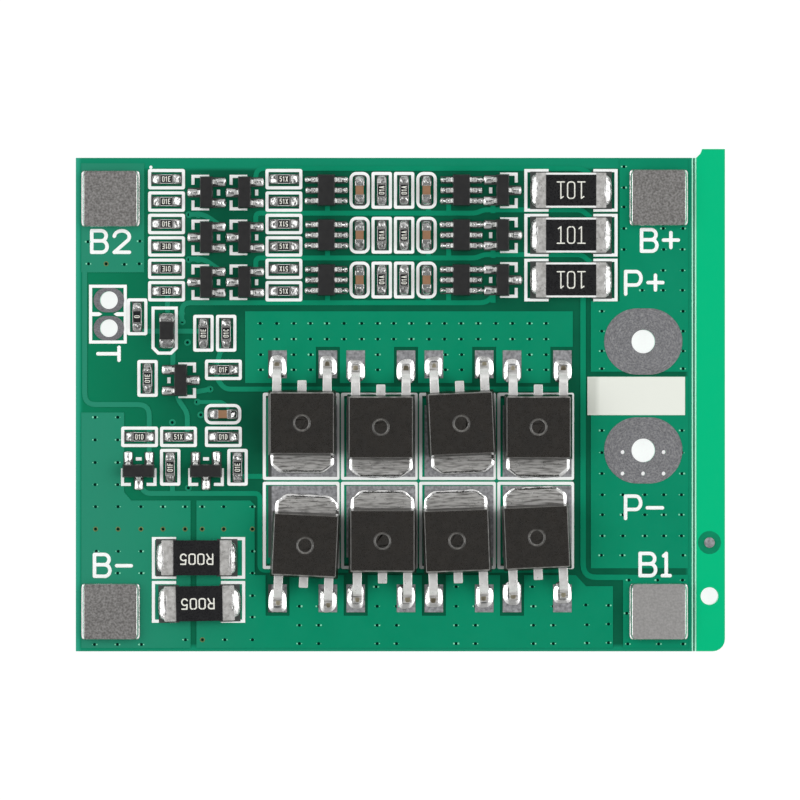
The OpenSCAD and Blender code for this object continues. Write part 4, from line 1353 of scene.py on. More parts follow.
@dataclass
class PowerSolder:
    """Solder of the power transistors: hollow puddles round the feet and a bead round each heat tab."""

    node: str = "power_solder"
    name: str = "power_solder_shape"
    count: int = 8
    # Solids narrower than this are puddles. The others belong to the heat tabs.
    widest_puddle: float = 3 * MM
    points: int = 44
    outer_power: float = 2.9
    inner_power: float = 5
    foot: Pair = (0.82 * MM, 1.15 * MM)
    # How far the puddle's middle lies behind the solid's, and the foot's before it
    back: float = 0.2 * MM
    foot_ahead: float = 0.08 * MM
    climb: float = 0.25 * MM
    wobble: float = 0.05
    lobes: int = 3
    # Shares of the way from the foot out to the land's edge
    part: Profile = (1.0, 0.9, 0.76, 0.62, 0.46, 0.3, 0.14, 0.0)
    hollow: float = 0.95
    lots: tuple[Pair, Pair] = ((0.95, 1.04), (1.05, 1.14))
    bead: float = 0.3 * MM
    bead_rise: float = 0.18 * MM
    # The bead's waves: their share of its width, and the angle they run through
    bead_waves: Pair = (0.12, 29)
    # The bead's section: shares of its width out from the tab's side, and of its height
    section: tuple[Pair, ...] = (
        (-0.5, 0.0), (-0.5, 1.0), (-0.05, 1.0), (0.1, 0.78), (0.3, 0.52), (0.55, 0.3), (0.8, 0.12), (1, 0),
    )  # fmt: skip
    # How deep the tab's corners lie behind its end, and how far the bead runs back from them
    corner_depth: float = 1.2 * MM
    reach: float = 1.1 * MM
    spacing: float = 0.28 * MM
    seed: int = 5

    def build(self, material: Material) -> None:
        """Builds all puddles and beads as one piece.

        Args:
            material: The solder's material.
        """
        boxes = islands(self.node)
        shell = Shell()
        shell.tubes(self.puddles(boxes[(boxes[:, 1] - boxes[:, 0])[:, 0] < self.widest_puddle]))
        for number in range(1, self.count + 1):
            shell.tubes(self.rim(number)[None])
        shell.piece(self.name, "solder", material, [self.node])

    def puddles(self, boxes: Array) -> Array:
        """Lays a hollow-sided puddle round each foot.

        Args:
            boxes: Boxes of the plain puddles, shape (puddles, 2, 3).

        Returns:
            Rings of points, shape (puddles, rings, points, 3), from the land's edge inwards and up.
        """
        draw_lots = np.random.default_rng(self.seed)
        angle = np.linspace(0, 2 * np.pi, self.points, endpoint=False)
        middle = boxes.mean(axis=1)
        half = (boxes[:, 1] - boxes[:, 0])[:, :2] / 2 * draw_lots.uniform(*self.lots, (len(boxes), 2))
        up = np.sign(middle[:, 1] - boxes[:, :, 1].mean())
        middle[:, 1] -= up * self.back
        foot = (middle[:, :2] + np.stack([0 * up, up * self.foot_ahead], -1))[:, None]
        wobble = 1 + self.wobble * np.sin(angle * self.lobes + draw_lots.uniform(0, 6.3, (len(boxes), 1)))
        outer = squared_round(self.points, self.outer_power) * half[:, None] * wobble[..., None]
        edge = middle[:, None, :2] + outer
        core = foot + squared_round(self.points, self.inner_power) * np.array(self.foot) / 2
        part = np.array(self.part)[None, :, None]
        flat = core[:, None] + (edge - core)[:, None] * part[..., None]
        sides = lifted(flat, LEVEL.land + (1 - part) ** self.hollow * self.climb)
        # Carries on under the foot, out of sight, to close the surface
        closing = lifted(foot + (core - foot) * 0.5, LEVEL.land + self.climb * 0.9)
        return np.concatenate([sides, closing[:, None]], 1)

    def rim(self, number: int) -> Array:
        """Runs a bead along the bare sides of one heat tab.

        Args:
            number: The transistor's number.

        Returns:
            Rings of points along the bead, shape (rings, points, 3).
        """
        frame_name = f"power_transistor_leadframe_{number}"
        flats = islands(frame_name)
        low, high = flats[np.argmax(np.prod((flats[:, 1] - flats[:, 0])[:, :2], axis=1))][:, :2]
        tab = outline_at(frame_name, LEVEL.tab)
        tab = tab[np.all((tab > low - 1e-6) & (tab < high + 1e-6), axis=1)]
        body_low, body_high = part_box(f"power_transistor_body_{number}")
        up = np.sign((low + high)[1] / 2 - (body_low[1] + body_high[1]) / 2)
        # Corners of the tab's bare end, from its left side round to its right side
        ahead = tab[:, 1] * up
        bare = tab[ahead > ahead.max() - self.corner_depth]
        ahead = bare[:, 1] * up
        bare = bare[np.argsort(np.arctan2(bare[:, 0] - bare[:, 0].mean(), ahead - ahead.min() + 1 * MM))]
        along = (bare[-1] - bare[0]) / np.linalg.norm(bare[-1] - bare[0])
        out = np.array([-along[1], along[0]])
        back = -out * np.sign(out[1]) * up * self.reach
        line = self.rounded(np.concatenate([[bare[0] + back], bare, [bare[-1] + back]]))
        step = np.gradient(line, axis=0)
        step /= np.linalg.norm(step, axis=1)[:, None]
        normal = np.stack([-step[:, 1], step[:, 0]], -1)
        normal *= np.sign((normal * (line - (low + high) / 2)).sum(1))[:, None]
        section = np.array(self.section)[None]
        share, run = self.bead_waves
        wave = 1 + share * np.sin(np.linspace(0, run, len(line)) + number)
        flat = line[:, None] + normal[:, None] * (section[..., :1] * self.bead * wave[:, None, None])
        rings = lifted(flat, LEVEL.land + section[..., 1] * self.bead_rise)
        return rings if up > 0 else rings[:, ::-1]

    def rounded(self, corners: Array) -> Array:
        """Runs a smooth line through corners: sets points between them and cuts all corners twice.

        Args:
            corners: Corners of the line, shape (corners, 2).

        Returns:
            Points of the smooth line.
        """
        gaps = np.linalg.norm(np.diff(corners, axis=0), axis=1)
        place = np.concatenate([[0], np.cumsum(gaps)])
        even = np.linspace(0, place[-1], int(place[-1] / self.spacing) + 2)
        line = np.stack([np.interp(even, place, corners[:, axis]) for axis in range(2)], -1)
        for _ in range(2):
            first, second = line[:-1], line[1:]
            cut = np.stack([first * 0.75 + second * 0.25, first * 0.25 + second * 0.75], 1)
            line = np.concatenate([line[:1], cut.reshape(-1, 2), line[-1:]])
        return line


@dataclass
class BarePatches:
    """Copper-brown patches on the flat feet of the power transistors, where the tin is thin."""

    count: int = 8
    points: int = 24
    power: float = 3
    half: Pair = (0.23 * MM, 0.4 * MM)
    back: float = 0.5 * MM
    # A lead that ends in a foot is narrower and longer than this
    lead: Pair = (1.5 * MM, 2 * MM)
    # The dome's rings: shares of its half width, and heights
    inward: Profile = (1.0, 0.96, 0.8, 0.4)
    lift: Profile = (-0.0048 * MM, 0.006 * MM, 0.0108 * MM, 0.012 * MM)
    seed: int = 9

    def build(self, material: Material) -> None:
        """Lays a thin dome with a squarish plan on each foot.

        Args:
            material: The patches' material.
        """
        spots = np.concatenate([self.feet(number) for number in range(1, self.count + 1)])
        size = np.random.default_rng(self.seed).uniform(0.8, 1.1, (len(spots), 2)) * self.half
        plan = squared_round(self.points, self.power) * np.array(self.inward)[None, :, None, None]
        flat = spots[:, None, None] + plan * size[:, None, None]
        shell = Shell()
        shell.tubes(lifted(flat, LEVEL.tab + np.array(self.lift)[None, :, None]))
        shell.piece("bare_foot_patches", "lead", material)

    def feet(self, number: int) -> Array:
        """Finds the middles of one transistor's patches.

        Args:
            number: The transistor's number.

        Returns:
            Array of shape (feet, 2).
        """
        leads = islands(f"power_transistor_leadframe_{number}")
        size = leads[:, 1] - leads[:, 0]
        leads = leads[(size[:, 0] < self.lead[0]) & (size[:, 1] > self.lead[1])]
        low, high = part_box(f"power_transistor_body_{number}")
        middle = leads.mean(axis=1)
        up = np.sign(middle[:, 1] - (low[1] + high[1]) / 2)
        tip = np.where(up > 0, leads[:, 1, 1], leads[:, 0, 1])
        return np.stack([middle[:, 0], tip - up * self.back], -1)


@dataclass
class PlateSolder:
    """Solder under the cell plates, drawn up their two long sides and peeping out at the others."""

    node: str = "cell_plate_solder"
    name: str = "cell_plate_solder_shape"
    plates: tuple[str, ...] = ("b2", "b_plus", "b_minus", "b1")
    points: int = 72
    power: float = 14
    side: float = 0.3 * MM
    end: float = 0.09 * MM
    rise: float = 0.42 * MM
    # Share of the rise at the ends
    low_end: float = 0.45
    tuck: float = 0.25 * MM
    # The bead's section: shares of its width out from the plate's side, and of its height
    section: tuple[Pair, ...] = (
        (-1.0, 0.0), (-1.0, 0.35), (0.0, 1.0), (0.2, 0.66), (0.5, 0.3), (0.8, 0.1), (1.0, 0.0),
    )  # fmt: skip

    def build(self, material: Material) -> None:
        """Builds a skirt round each plate.

        Args:
            material: The solder's material.
        """
        shell = Shell()
        for plate in self.plates:
            low, high = (np.array(corner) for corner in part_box(f"cell_plate_{plate}"))
            shell.loops(self.skirt(low, high)[None])
        shell.piece(self.name, "solder", material, [self.node])

    def skirt(self, low: Array, high: Array) -> Array:
        """Runs a bead round one plate's foot: wide and high at its sides, narrow and low at its ends.

        Args:
            low: The plate's lowest corner.
            high: The plate's highest corner.

        Returns:
            Rings of points round the plate, shape (rings, points, 3).
        """
        plan = squared_round(self.points, self.power)
        half = (high - low)[:2] / 2
        middle = (low + high)[:2] / 2
        sideways = np.clip(np.abs(plan[:, :1]) * 12 - 11, 0, 1)
        wide = self.end + (self.side - self.end) * sideways
        tall = self.rise * (self.low_end + (1 - self.low_end) * sideways)
        section = np.array(self.section)[None]
        out = np.where(section[..., :1] < 0, -self.tuck, section[..., :1] * wide[:, None])
        return lifted(middle + plan[:, None] * (half + out), LEVEL.land + section[..., 1] * tall)[::-1]


# ------------------------------------------------------------------ characters


def bow(
    x: float, y: float, wide: float, tall: float, start: float, end: float, count: int = 13
) -> list[Pair]:
    """Takes points along part of an ellipse.

    Args:
        x: Middle, across.
        y: Middle, up.
        wide: Half width.
        tall: Half height.
        start: First angle, in degrees.
        end: Last angle, in degrees.
        count: Number of points.

    Returns:
        The points.
    """
    angle = np.radians(np.linspace(start, end, count))
    return list(zip(x + wide * np.cos(angle), y + tall * np.sin(angle), strict=True))


# Strokes of each character in a box of width 1 and height 1
GLYPHS: dict[str, list[list[Pair]]] = {
    "B": [
        [(0, 0), (0, 1)],
        [(0, 1), (0.62, 1), *bow(0.62, 0.765, 0.32, 0.235, 90, -90), (0, 0.53)],
        [(0, 0.53), (0.66, 0.53), *bow(0.66, 0.265, 0.34, 0.265, 90, -90), (0, 0)],
    ],
    "P": [[(0, 0), (0, 1)], [(0, 1), (0.66, 1), *bow(0.66, 0.7, 0.34, 0.3, 90, -90), (0, 0.4)]],
    "2": [[*bow(0.5, 0.72, 0.5, 0.28, 175, -35), (0, 0)], [(0, 0), (1, 0)]],
    "1": [[(0.16, 0.89), (0.5, 1)], [(0.5, 1), (0.5, 0)], [(0, 0), (1, 0)]],
    "i": [[(0.15, 0.78), (0.55, 1)], [(0.55, 1), (0.55, 0)]],
    "T": [[(0, 1), (1, 1)], [(0.5, 1), (0.5, 0)]],
    "+": [[(0, 0.5), (1, 0.5)], [(0.5, 0), (0.5, 1)]],
    "-": [[(0, 0.5), (1, 0.5)]],
    "0": [
        [
            (0.5, 1),
            *bow(0.64, 0.82, 0.36, 0.18, 90, 0, 7),
            *bow(0.64, 0.18, 0.36, 0.18, 0, -90, 7),
            *bow(0.36, 0.18, 0.36, 0.18, -90, -180, 7),
            *bow(0.36, 0.82, 0.36, 0.18, 180, 90, 7),
            (0.56, 1),
        ]
    ],
    "R": [
        [(0, 0), (0, 1)],
        [(0, 1), (0.6, 1), *bow(0.6, 0.74, 0.36, 0.26, 90, -90), (0, 0.48)],
        [(0.5, 0.48), (1, 0)],
    ],
    "5": [[(0.92, 1), (0.12, 1), (0.06, 0.56)], [(0.06, 0.56), *bow(0.46, 0.32, 0.5, 0.32, 105, -150)]],
    "E": [[(0, 0), (0, 1)], [(0, 1), (0.9, 1)], [(0, 0.52), (0.75, 0.52)], [(0, 0), (0.9, 0)]],
    "F": [[(0, 0), (0, 1)], [(0, 1), (0.9, 1)], [(0, 0.52), (0.75, 0.52)]],
    "X": [[(0, 0), (1, 1)], [(0, 1), (1, 0)]],
    "A": [[(0, 0), (0.5, 1)], [(0.5, 1), (1, 0)], [(0.2, 0.36), (0.8, 0.36)]],
    "C": [[*bow(0.52, 0.5, 0.5, 0.5, 50, 310, 21)]],
    "D": [[(0, 0), (0, 1)], [(0, 1), (0.4, 1), *bow(0.4, 0.5, 0.58, 0.5, 90, -90, 17), (0, 0)]],
}


@dataclass(frozen=True)
class Pen:
    """Width of a stroke, and the levels between which it lies."""

    width: float
    bottom: float
    top: float
    # Directions, in degrees, of the points that round a stroke's end, and their shares of the height
    ends: Profile = (84, 60, 35, 12)
    fall: Profile = (0.5, 0.86, 0.97, 1.0)
    # The ribbon's section: shares of its half width and of its height
    section: tuple[Pair, ...] = (
        (-1, 0), (-0.96, 0.6), (-0.8, 0.94), (-0.5, 1), (0.5, 1), (0.8, 0.94), (0.96, 0.6), (1, 0),
    )  # fmt: skip

    def draw(self, shell: Shell, line: Array) -> None:
        """Draws one stroke: a low ribbon with rounded shoulders and round ends.

        Args:
            shell: Where it is added.
            line: Points of its middle line in the frame, shape (points, 2).
        """
        line = line[np.concatenate([[True], np.linalg.norm(np.diff(line, axis=0), axis=1) > 1e-7])]
        step = np.diff(line, axis=0)
        step /= np.linalg.norm(step, axis=1)[:, None]
        after = np.concatenate([step, step[-1:]])
        tangent = np.concatenate([step[:1], step]) + after
        tangent /= np.linalg.norm(tangent, axis=1)[:, None]
        # A mitred corner is wider than the stroke, by one over the cosine of half its turn
        stretch = 1 / np.maximum((tangent * after).sum(1), 0.5)
        turned, count, fall = np.radians(self.ends), len(self.ends), np.array(self.fall)
        ahead = np.concatenate([-np.sin(turned), 0 * stretch, np.sin(turned[::-1])]) * self.width / 2
        narrow = np.concatenate([np.cos(turned), stretch, np.cos(turned[::-1])]) * self.width / 2
        lift = np.concatenate([fall, 1 + 0 * stretch, fall[::-1]])
        line, tangent = (np.pad(rows, ((count, count), (0, 0)), mode="edge") for rows in (line, tangent))
        side = np.stack([-tangent[:, 1], tangent[:, 0]], -1)[:, None]
        section = np.array(self.section)[None]
        flat = (line + tangent * ahead[:, None])[:, None] + side * section[..., :1] * narrow[:, None, None]
        height = self.bottom + (self.top - self.bottom) * section[..., 1] * lift[:, None]
        shell.tubes(lifted(flat, height)[None])


@dataclass(frozen=True)
class Lettering:
    """A run of characters set about a middle point. Lengths are in millimetres, the angle in degrees."""

    text: str
    middle: Pair
    height: float
    width: float
    pitch: float
    stroke: float
    angle: float = 0.0
    layer: float = 0.001

    def write(self, shell: Shell, bottom: float, top: float) -> None:
        """Draws the run, its outer size measured over the strokes.

        Args:
            shell: Where the strokes are added.
            bottom: Level of the strokes' underside, in metres.
            top: Level of their top, in metres.
        """
        tilt = np.radians(self.angle)
        spin = np.array([[np.cos(tilt), np.sin(tilt)], [-np.sin(tilt), np.cos(tilt)]])
        first = -(len(self.text) - 1) / 2 * self.pitch
        for place, letter in enumerate(self.text):
            for layer, stroke in enumerate(GLYPHS[letter]):
                line = (np.array(stroke) - 0.5) * [self.width - self.stroke, self.height - self.stroke]
                line = (line + [first + place * self.pitch, 0]) @ spin
                # Each stroke lies a hair above the last one, so that no two faces coincide
                pen = Pen(self.stroke * MM, bottom, top + layer * self.layer * MM)
                pen.draw(shell, on_board(line + self.middle))


@dataclass
class TerminalLetters:
    """The white letters that name the terminals."""

    base: float = 1.24 * MM
    # Letter, then its left, right, low and high edge, in millimetres
    letters: tuple[tuple[str, float, float, float, float], ...] = (
        ("B", 1.28, 3.0, 35.98, 38.26), ("2", 3.32, 5.02, 35.98, 38.26),
        ("B", 51.08, 52.8, 36.08, 38.36), ("+", 53.07, 54.73, 36.42, 38.08),
        ("P", 49.64, 51.36, 32.2, 34.56), ("+", 51.67, 53.33, 32.57, 34.23),
        ("P", 49.63, 51.33, 11.88, 14.22), ("-", 51.6, 53.3, 12.2, 13.8),
        ("B", 50.95, 52.68, 6.69, 9.03), ("1", 52.97, 53.99, 6.69, 9.03),
        ("B", 1.53, 3.26, 6.63, 8.94), ("-", 3.54, 5.19, 7.0, 8.5),
    )  # fmt: skip
    stroke: float = 0.33
    # Levels of the ink on bare laminate: the letter by the sensor holes, on its side, and a dot
    low_ink: Pair = (1.19 * MM, 1.23 * MM)
    sensor: Lettering = Lettering("T", (2.96, 26.95), 2.24, 1.5, 0, 0.33, -90)
    dot: tuple[Pair, Pair] = ((6.8, 43.85), (6.801, 43.85))
    dot_width: float = 0.3 * MM

    def build(self, material: Material) -> None:
        """Draws all letters as one piece.

        Args:
            material: The ink's material.
        """
        shell = Shell()
        for letter, left, right, low, high in self.letters:
            middle = ((left + right) / 2, (low + high) / 2)
            run = Lettering(letter, middle, high - low, right - left, 0, self.stroke)
            run.write(shell, self.base, LEVEL.land)
        self.sensor.write(shell, *self.low_ink)
        Pen(self.dot_width, *self.low_ink).draw(shell, on_board(self.dot))
        shell.piece("terminal_letters", "ink", material)


@dataclass
class ValueCodes:
    """Value codes printed on the resistors' glaze."""

    sink: float = 0.004 * MM
    lift: float = 0.006 * MM
    # Height, width, pitch and stroke of the characters on small, balance and shunt resistors
    small: tuple[float, ...] = (0.5, 0.23, 0.27, 0.07)
    balance: tuple[float, ...] = (1.6, 0.76, 0.93, 0.115)
    shunt: tuple[float, ...] = (1.04, 0.66, 0.8, 0.13)
    # Angle of the code on each balance resistor, from the top of the board down
    balance_angles: tuple[float, ...] = (180, 0, 180)
    # Middle and angle of the code on each shunt resistor
    shunts: tuple[tuple[Pair, float], ...] = (((10.955, 8.36), 180), ((11.07, 4.32), 181))
    # Place of a small resistor that has a code of its own, then the code and its angle
    codes: tuple[tuple[Pair, str, float], ...] = (
        ((5.56, 30.3), "0", 90), ((11.56, 28.81), "0iE", 90), ((6.5, 24.72), "0iE", 90),
        ((14.65, 16.67), "0iE", 90), ((13.62, 28.81), "0iC", 90), ((13.37, 25.5), "0iF", 0),
        ((8.55, 16.67), "0iF", 90), ((5.78, 19.43), "0iD", 0), ((13.37, 19.43), "0iD", 0),
        ((9.3, 19.43), "5iX", 0),
    )  # fmt: skip
    near: float = 0.6
    # Right ends of the first two channel columns, the level above which codes in the first stand
    # upright, and the rows in which those of the second stand on their heads
    columns: Pair = (10, 20)
    upright_above: float = 37.7
    turned_rows: tuple[Pair, ...] = ((37.7, 39.7), (33.7, 35.7))

    def build(self, material: Material) -> None:
        """Writes the codes on small and large resistors.

        Args:
            material: The ink's material.
        """
        shell = Shell()
        glazes = islands("chip_resistor_glazes")
        for x, y in (glazes.mean(axis=1)[:, :2] - CORNER) / MM:
            text, angle = self.code_at(float(x), float(y))
            self.write(shell, Lettering(text, (x, y), *self.small, angle), glazes[0, 1, 2])
        large = sorted(islands("balance_resistor_glazes"), key=lambda box: -box[0, 1])
        for box, angle in zip(large, self.balance_angles, strict=True):
            middle = tuple((box.mean(axis=0)[:2] - CORNER) / MM)
            self.write(shell, Lettering("101", middle, *self.balance, angle), box[1, 2])
        for number, (middle, angle) in enumerate(self.shunts, 1):
            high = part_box(f"shunt_resistor_{number}")[1]
            self.write(shell, Lettering("R005", middle, *self.shunt, angle), high[2])
        shell.piece("value_codes", "ink", material)

    def write(self, shell: Shell, run: Lettering, top: float) -> None:
        """Prints one code on a glaze.

        Args:
            shell: Where the strokes are added.
            run: The code.
            top: Level of the glaze's top.
        """
        run.write(shell, top - self.sink, top + self.lift)

    def code_at(self, x: float, y: float) -> tuple[str, float]:
        """Looks up the code of the small resistor at a place. Those of a channel column share one.

        Args:
            x: Millimetres from the board's left edge.
            y: Millimetres from its lower edge.

        Returns:
            The code and its angle in degrees.
        """
        for (code_x, code_y), text, angle in self.codes:
            if abs(code_x - x) < self.near and abs(code_y - y) < self.near:
                return text, angle
        if x < self.columns[0]:
            return "0iE", 0 if y > self.upright_above else 180
        if x < self.columns[1]:
            return "5iX", 180 if any(low < y < high for low, high in self.turned_rows) else 0
        return "0iA", 90


# ------------------------------------------------------------------ vias


def lattice(across: Sequence[float], upward: Sequence[float]) -> Array:
    """Crosses columns with rows.

    Args:
        across: Places of the columns.
        upward: Places of the rows.

    Returns:
        All crossings, shape (points, 2).
    """
    x, y = np.meshgrid(across, upward)
    return np.stack([x.ravel(), y.ravel()], -1)


@dataclass
class Vias:
    """Small plated holes under the mask: a dark disc of painted shade over each bore, between two pale discs
    of painted glint, and pads underneath.
    """

    # Places, in millimetres from the board's lower left corner
    pour_columns: tuple[float, ...] = (
        16.7, 18.2, 19.75, 21.25, 22.75, 24.3, 25.9, 27.35, 28.8,
        30.4, 32.0, 33.4, 34.9, 36.45, 38.05, 39.55, 41.1, 42.6,
    )  # fmt: skip
    gaps: tuple[float, ...] = (16.75, 19.75, 21.28, 27.35, 33.48, 34.95, 41.1, 42.6)
    left: tuple[float, ...] = (1.79, 3.83, 5.9, 7.9, 9.9, 11.45, 13.4, 16.0)
    feet: tuple[float, ...] = (20.25, 22.0, 27.3, 29.05, 34.45, 36.2, 41.45, 43.25)
    right: tuple[float, ...] = (47.69, 49.55, 51.54, 53.26, 54.86)
    loose: tuple[Pair, ...] = (
        (1.1, 37.1), (5.8, 37.15), (1.15, 35.1), (4.4, 35.05), (5.75, 35.1), (47.6, 8.7), (49.5, 8.7),
        (55.0, 8.7), (50.1, 6.45), (52.7, 6.45), (54.95, 6.45), (49.9, 3.44), (46.2, 4.2), (46.3, 2.4),
        (46.3, 0.75), (50.0, 0.67), (52.8, 0.67), (55.0, 0.67), (9.93, 1.05), (13.5, 1.05), (1.7, 0.62),
        (3.77, 0.62), (5.94, 0.62), (3.8, 7.08), (5.94, 7.08), (27.2, 5.85), (34.45, 5.85), (41.35, 5.85),
        (53.2, 38.3), (55.0, 38.3), (53.25, 36.4), (54.95, 36.4),
    )  # fmt: skip
    # Those whose pads stand in bare laminate
    ringed: tuple[Pair, ...] = (
        (9.58, 30.6), (9.64, 29.86), (10.12, 27.98), (12.15, 23.74), (11.0, 22.58), (11.32, 21.42),
        (8.74, 20.73), (10.2, 14.8), (10.25, 39.55), (11.1, 39.55), (10.25, 35.48), (11.1, 35.48),
    )  # fmt: skip
    fiducial: Pair = (57.4, 9.85)
    # Radii of the bores' painted shade, of the painted glints beside them, of where the glints stand, and of
    # the pads
    bore: float = 0.14 * MM
    lobe: float = 0.085 * MM
    rim: float = 0.2 * MM
    pad: float = 0.31 * MM
    clearance: float = 1.05 * MM
    lobe_lots: Pair = (0.3, 1.1)
    # How far the painted glints and the pads, the bores' painted shade and the pads underneath stand out
    rise: float = 0.03 * MM
    bore_rise: float = 0.004 * MM
    under_rise: float = -0.002 * MM
    # Half width and half height of the thin rings' section
    ring_half: Pair = (0.05 * MM, 0.012 * MM)
    seed: int = 13

    def masked(self) -> Array:
        """Lists the vias that stand in masked copper.

        Returns:
            Their places.
        """
        return np.concatenate(
            [
                self.loose,
                lattice([49.65], [43.9, 42.0, 40.25, 38.3, 36.4]),
                lattice([51.3, 53.2, 54.95], [34.5, 32.7])[1:],
                lattice([47.65, 55.0], [30.8, 29.0, 27.2, 25.6]),
                lattice([47.65, 54.9], [20.0, 18.0, 16.1]),
                lattice(self.right, [14.18, 12.37, 10.46]),
                lattice([48.25], [4.16, 2.47, 0.78]),
                lattice(self.pour_columns, [29.7, 28.28]),
                lattice(self.gaps, [26.87, 25.5]),
                lattice([1.75, 3.8], [21.2, 19.15, 17.1, 15.1]),
                lattice(self.left, [13.1]),
                lattice([1.86, 3.84, 5.9, 16.0], [9.06]),
                lattice([16.0], [7.08, 5.04, 3.1, 1.05]),
                lattice(self.feet, [4.08, 2.36, 0.7]),
            ]
        )

    def tan(self) -> Array:
        """Lists the vias where the mask ran thin."""
        return np.concatenate([[(2.75, 35.1), (11.47, 1.05)], lattice(self.left, [11.07])])

    def build(self, masked_copper: Material) -> None:
        """Builds painted glints, pads, the bores' painted shade and thin rings, and the clear ring round the
        fiducial.

        Args:
            masked_copper: Material of the pads.
        """
        copper, bare, thin = (on_board(spots) for spots in (self.masked(), self.ringed, self.tan()))
        everywhere = np.concatenate([copper, bare, thin])
        draw_lots = np.random.default_rng(self.seed)
        clearing, glint, pad, bore, ring = (Shell() for _ in range(5))
        clearing.tubes(self.discs(on_board([self.fiducial]), LEVEL.laminate, self.clearance, self.bore_rise))
        # Two pale discs beside each via are painted glints
        for side in (-self.rim, self.rim):
            middle = lifted(copper + [side, 0], LEVEL.copper)[:, None, None]
            discs = self.discs(copper + [side, 0], LEVEL.copper, self.lobe, self.rise)
            scale = draw_lots.uniform(*self.lobe_lots, (len(copper), 1, 1, 1))
            glint.tubes(middle + (discs - middle) * scale)
        pad.tubes(self.discs(bare, LEVEL.laminate, self.pad, self.rise))
        pad.tubes(self.discs(everywhere, LEVEL.underside, self.pad, self.under_rise))
        # Dark discs over the bores, on top and underneath, are painted shade
        bore.tubes(self.discs(np.concatenate([copper, thin]), LEVEL.copper, self.bore, self.bore_rise))
        bore.tubes(self.discs(bare, LEVEL.laminate + self.rise, self.bore, self.bore_rise))
        bore.tubes(self.discs(everywhere, LEVEL.underside, self.bore, -self.bore_rise))
        ring.loops(self.rings(thin))
        clearing.piece("fiducial_clearance", "laminate", CLEARANCE.material())
        glint.piece("painted_via_glints", "masked_copper", VIA_GLINT.material())
        pad.piece("via_pads", "masked_copper", masked_copper)
        bore.piece("painted_bore_shades", "masked_copper", VIA_BORE_SHADE.material())
        ring.piece("via_thin_rings", "masked_copper", VIA_TAN.material())

    def rings(self, places: Array) -> Array:
        """Lays low rings: an elliptical section carried round a circle.

        Args:
            places: Middles, shape (rings, 2).

        Returns:
            Rings of points, shape (places, 20, 6, 3).
        """
        around = np.linspace(0, 2 * np.pi, 20, endpoint=False)[:, None]
        section = np.linspace(0, 2 * np.pi, 6, endpoint=False)
        reach = self.rim * 0.9 + self.ring_half[0] * np.cos(section)
        flat = np.stack([np.cos(around) * reach, np.sin(around) * reach], -1)
        return lifted(places, LEVEL.copper)[:, None, None] + lifted(flat, self.ring_half[1] * np.sin(section))

    @staticmethod
    def discs(places: Array, level: float, radius: float, rise: float) -> Array:
        """Lays thin discs with softly rounded rims.

        Args:
            places: Middles, shape (discs, 2).
            level: Height of the discs' foot.
            radius: Their radius.
            rise: How far they stand up, or down if negative.

        Returns:
            Rings of points, shape (places, 4, 18, 3).
        """
        around = np.linspace(0, 2 * np.pi, 18, endpoint=False) * np.sign(rise)
        reach = np.array([1.0, 0.97, 0.8, 0.3])[:, None] * radius
        flat = np.stack([np.cos(around) * reach, np.sin(around) * reach], -1)
        height = np.array([0.0, 0.7, 1.0, 1.0])[:, None] * rise
        return lifted(places, level)[:, None, None] + lifted(flat, height)


# ------------------------------------------------------------------ studio


@dataclass(frozen=True)
class SoftBox:
    """A lamp that looks at the middle of the board. Its size is its width and height."""

    name: str
    place: Triple
    size: Pair
    radiance: float

    def build(self) -> None:
        """Hangs the lamp so that its face glows with the stated radiance."""
        lamp = bpy.data.lights.new(self.name, "AREA")
        lamp.shape = "RECTANGLE"
        lamp.size, lamp.size_y = self.size
        lamp.energy = self.radiance * np.pi * self.size[0] * self.size[1]
        back = np.array(self.place) / np.linalg.norm(self.place)
        side = np.cross([0, 0, 1], back)
        side /= np.linalg.norm(side)
        matrix = np.eye(4)
        matrix[:3] = np.stack([side, np.cross(back, side), back, self.place], 1)
        placed(self.name, lamp).matrix_world = Matrix(matrix.tolist())


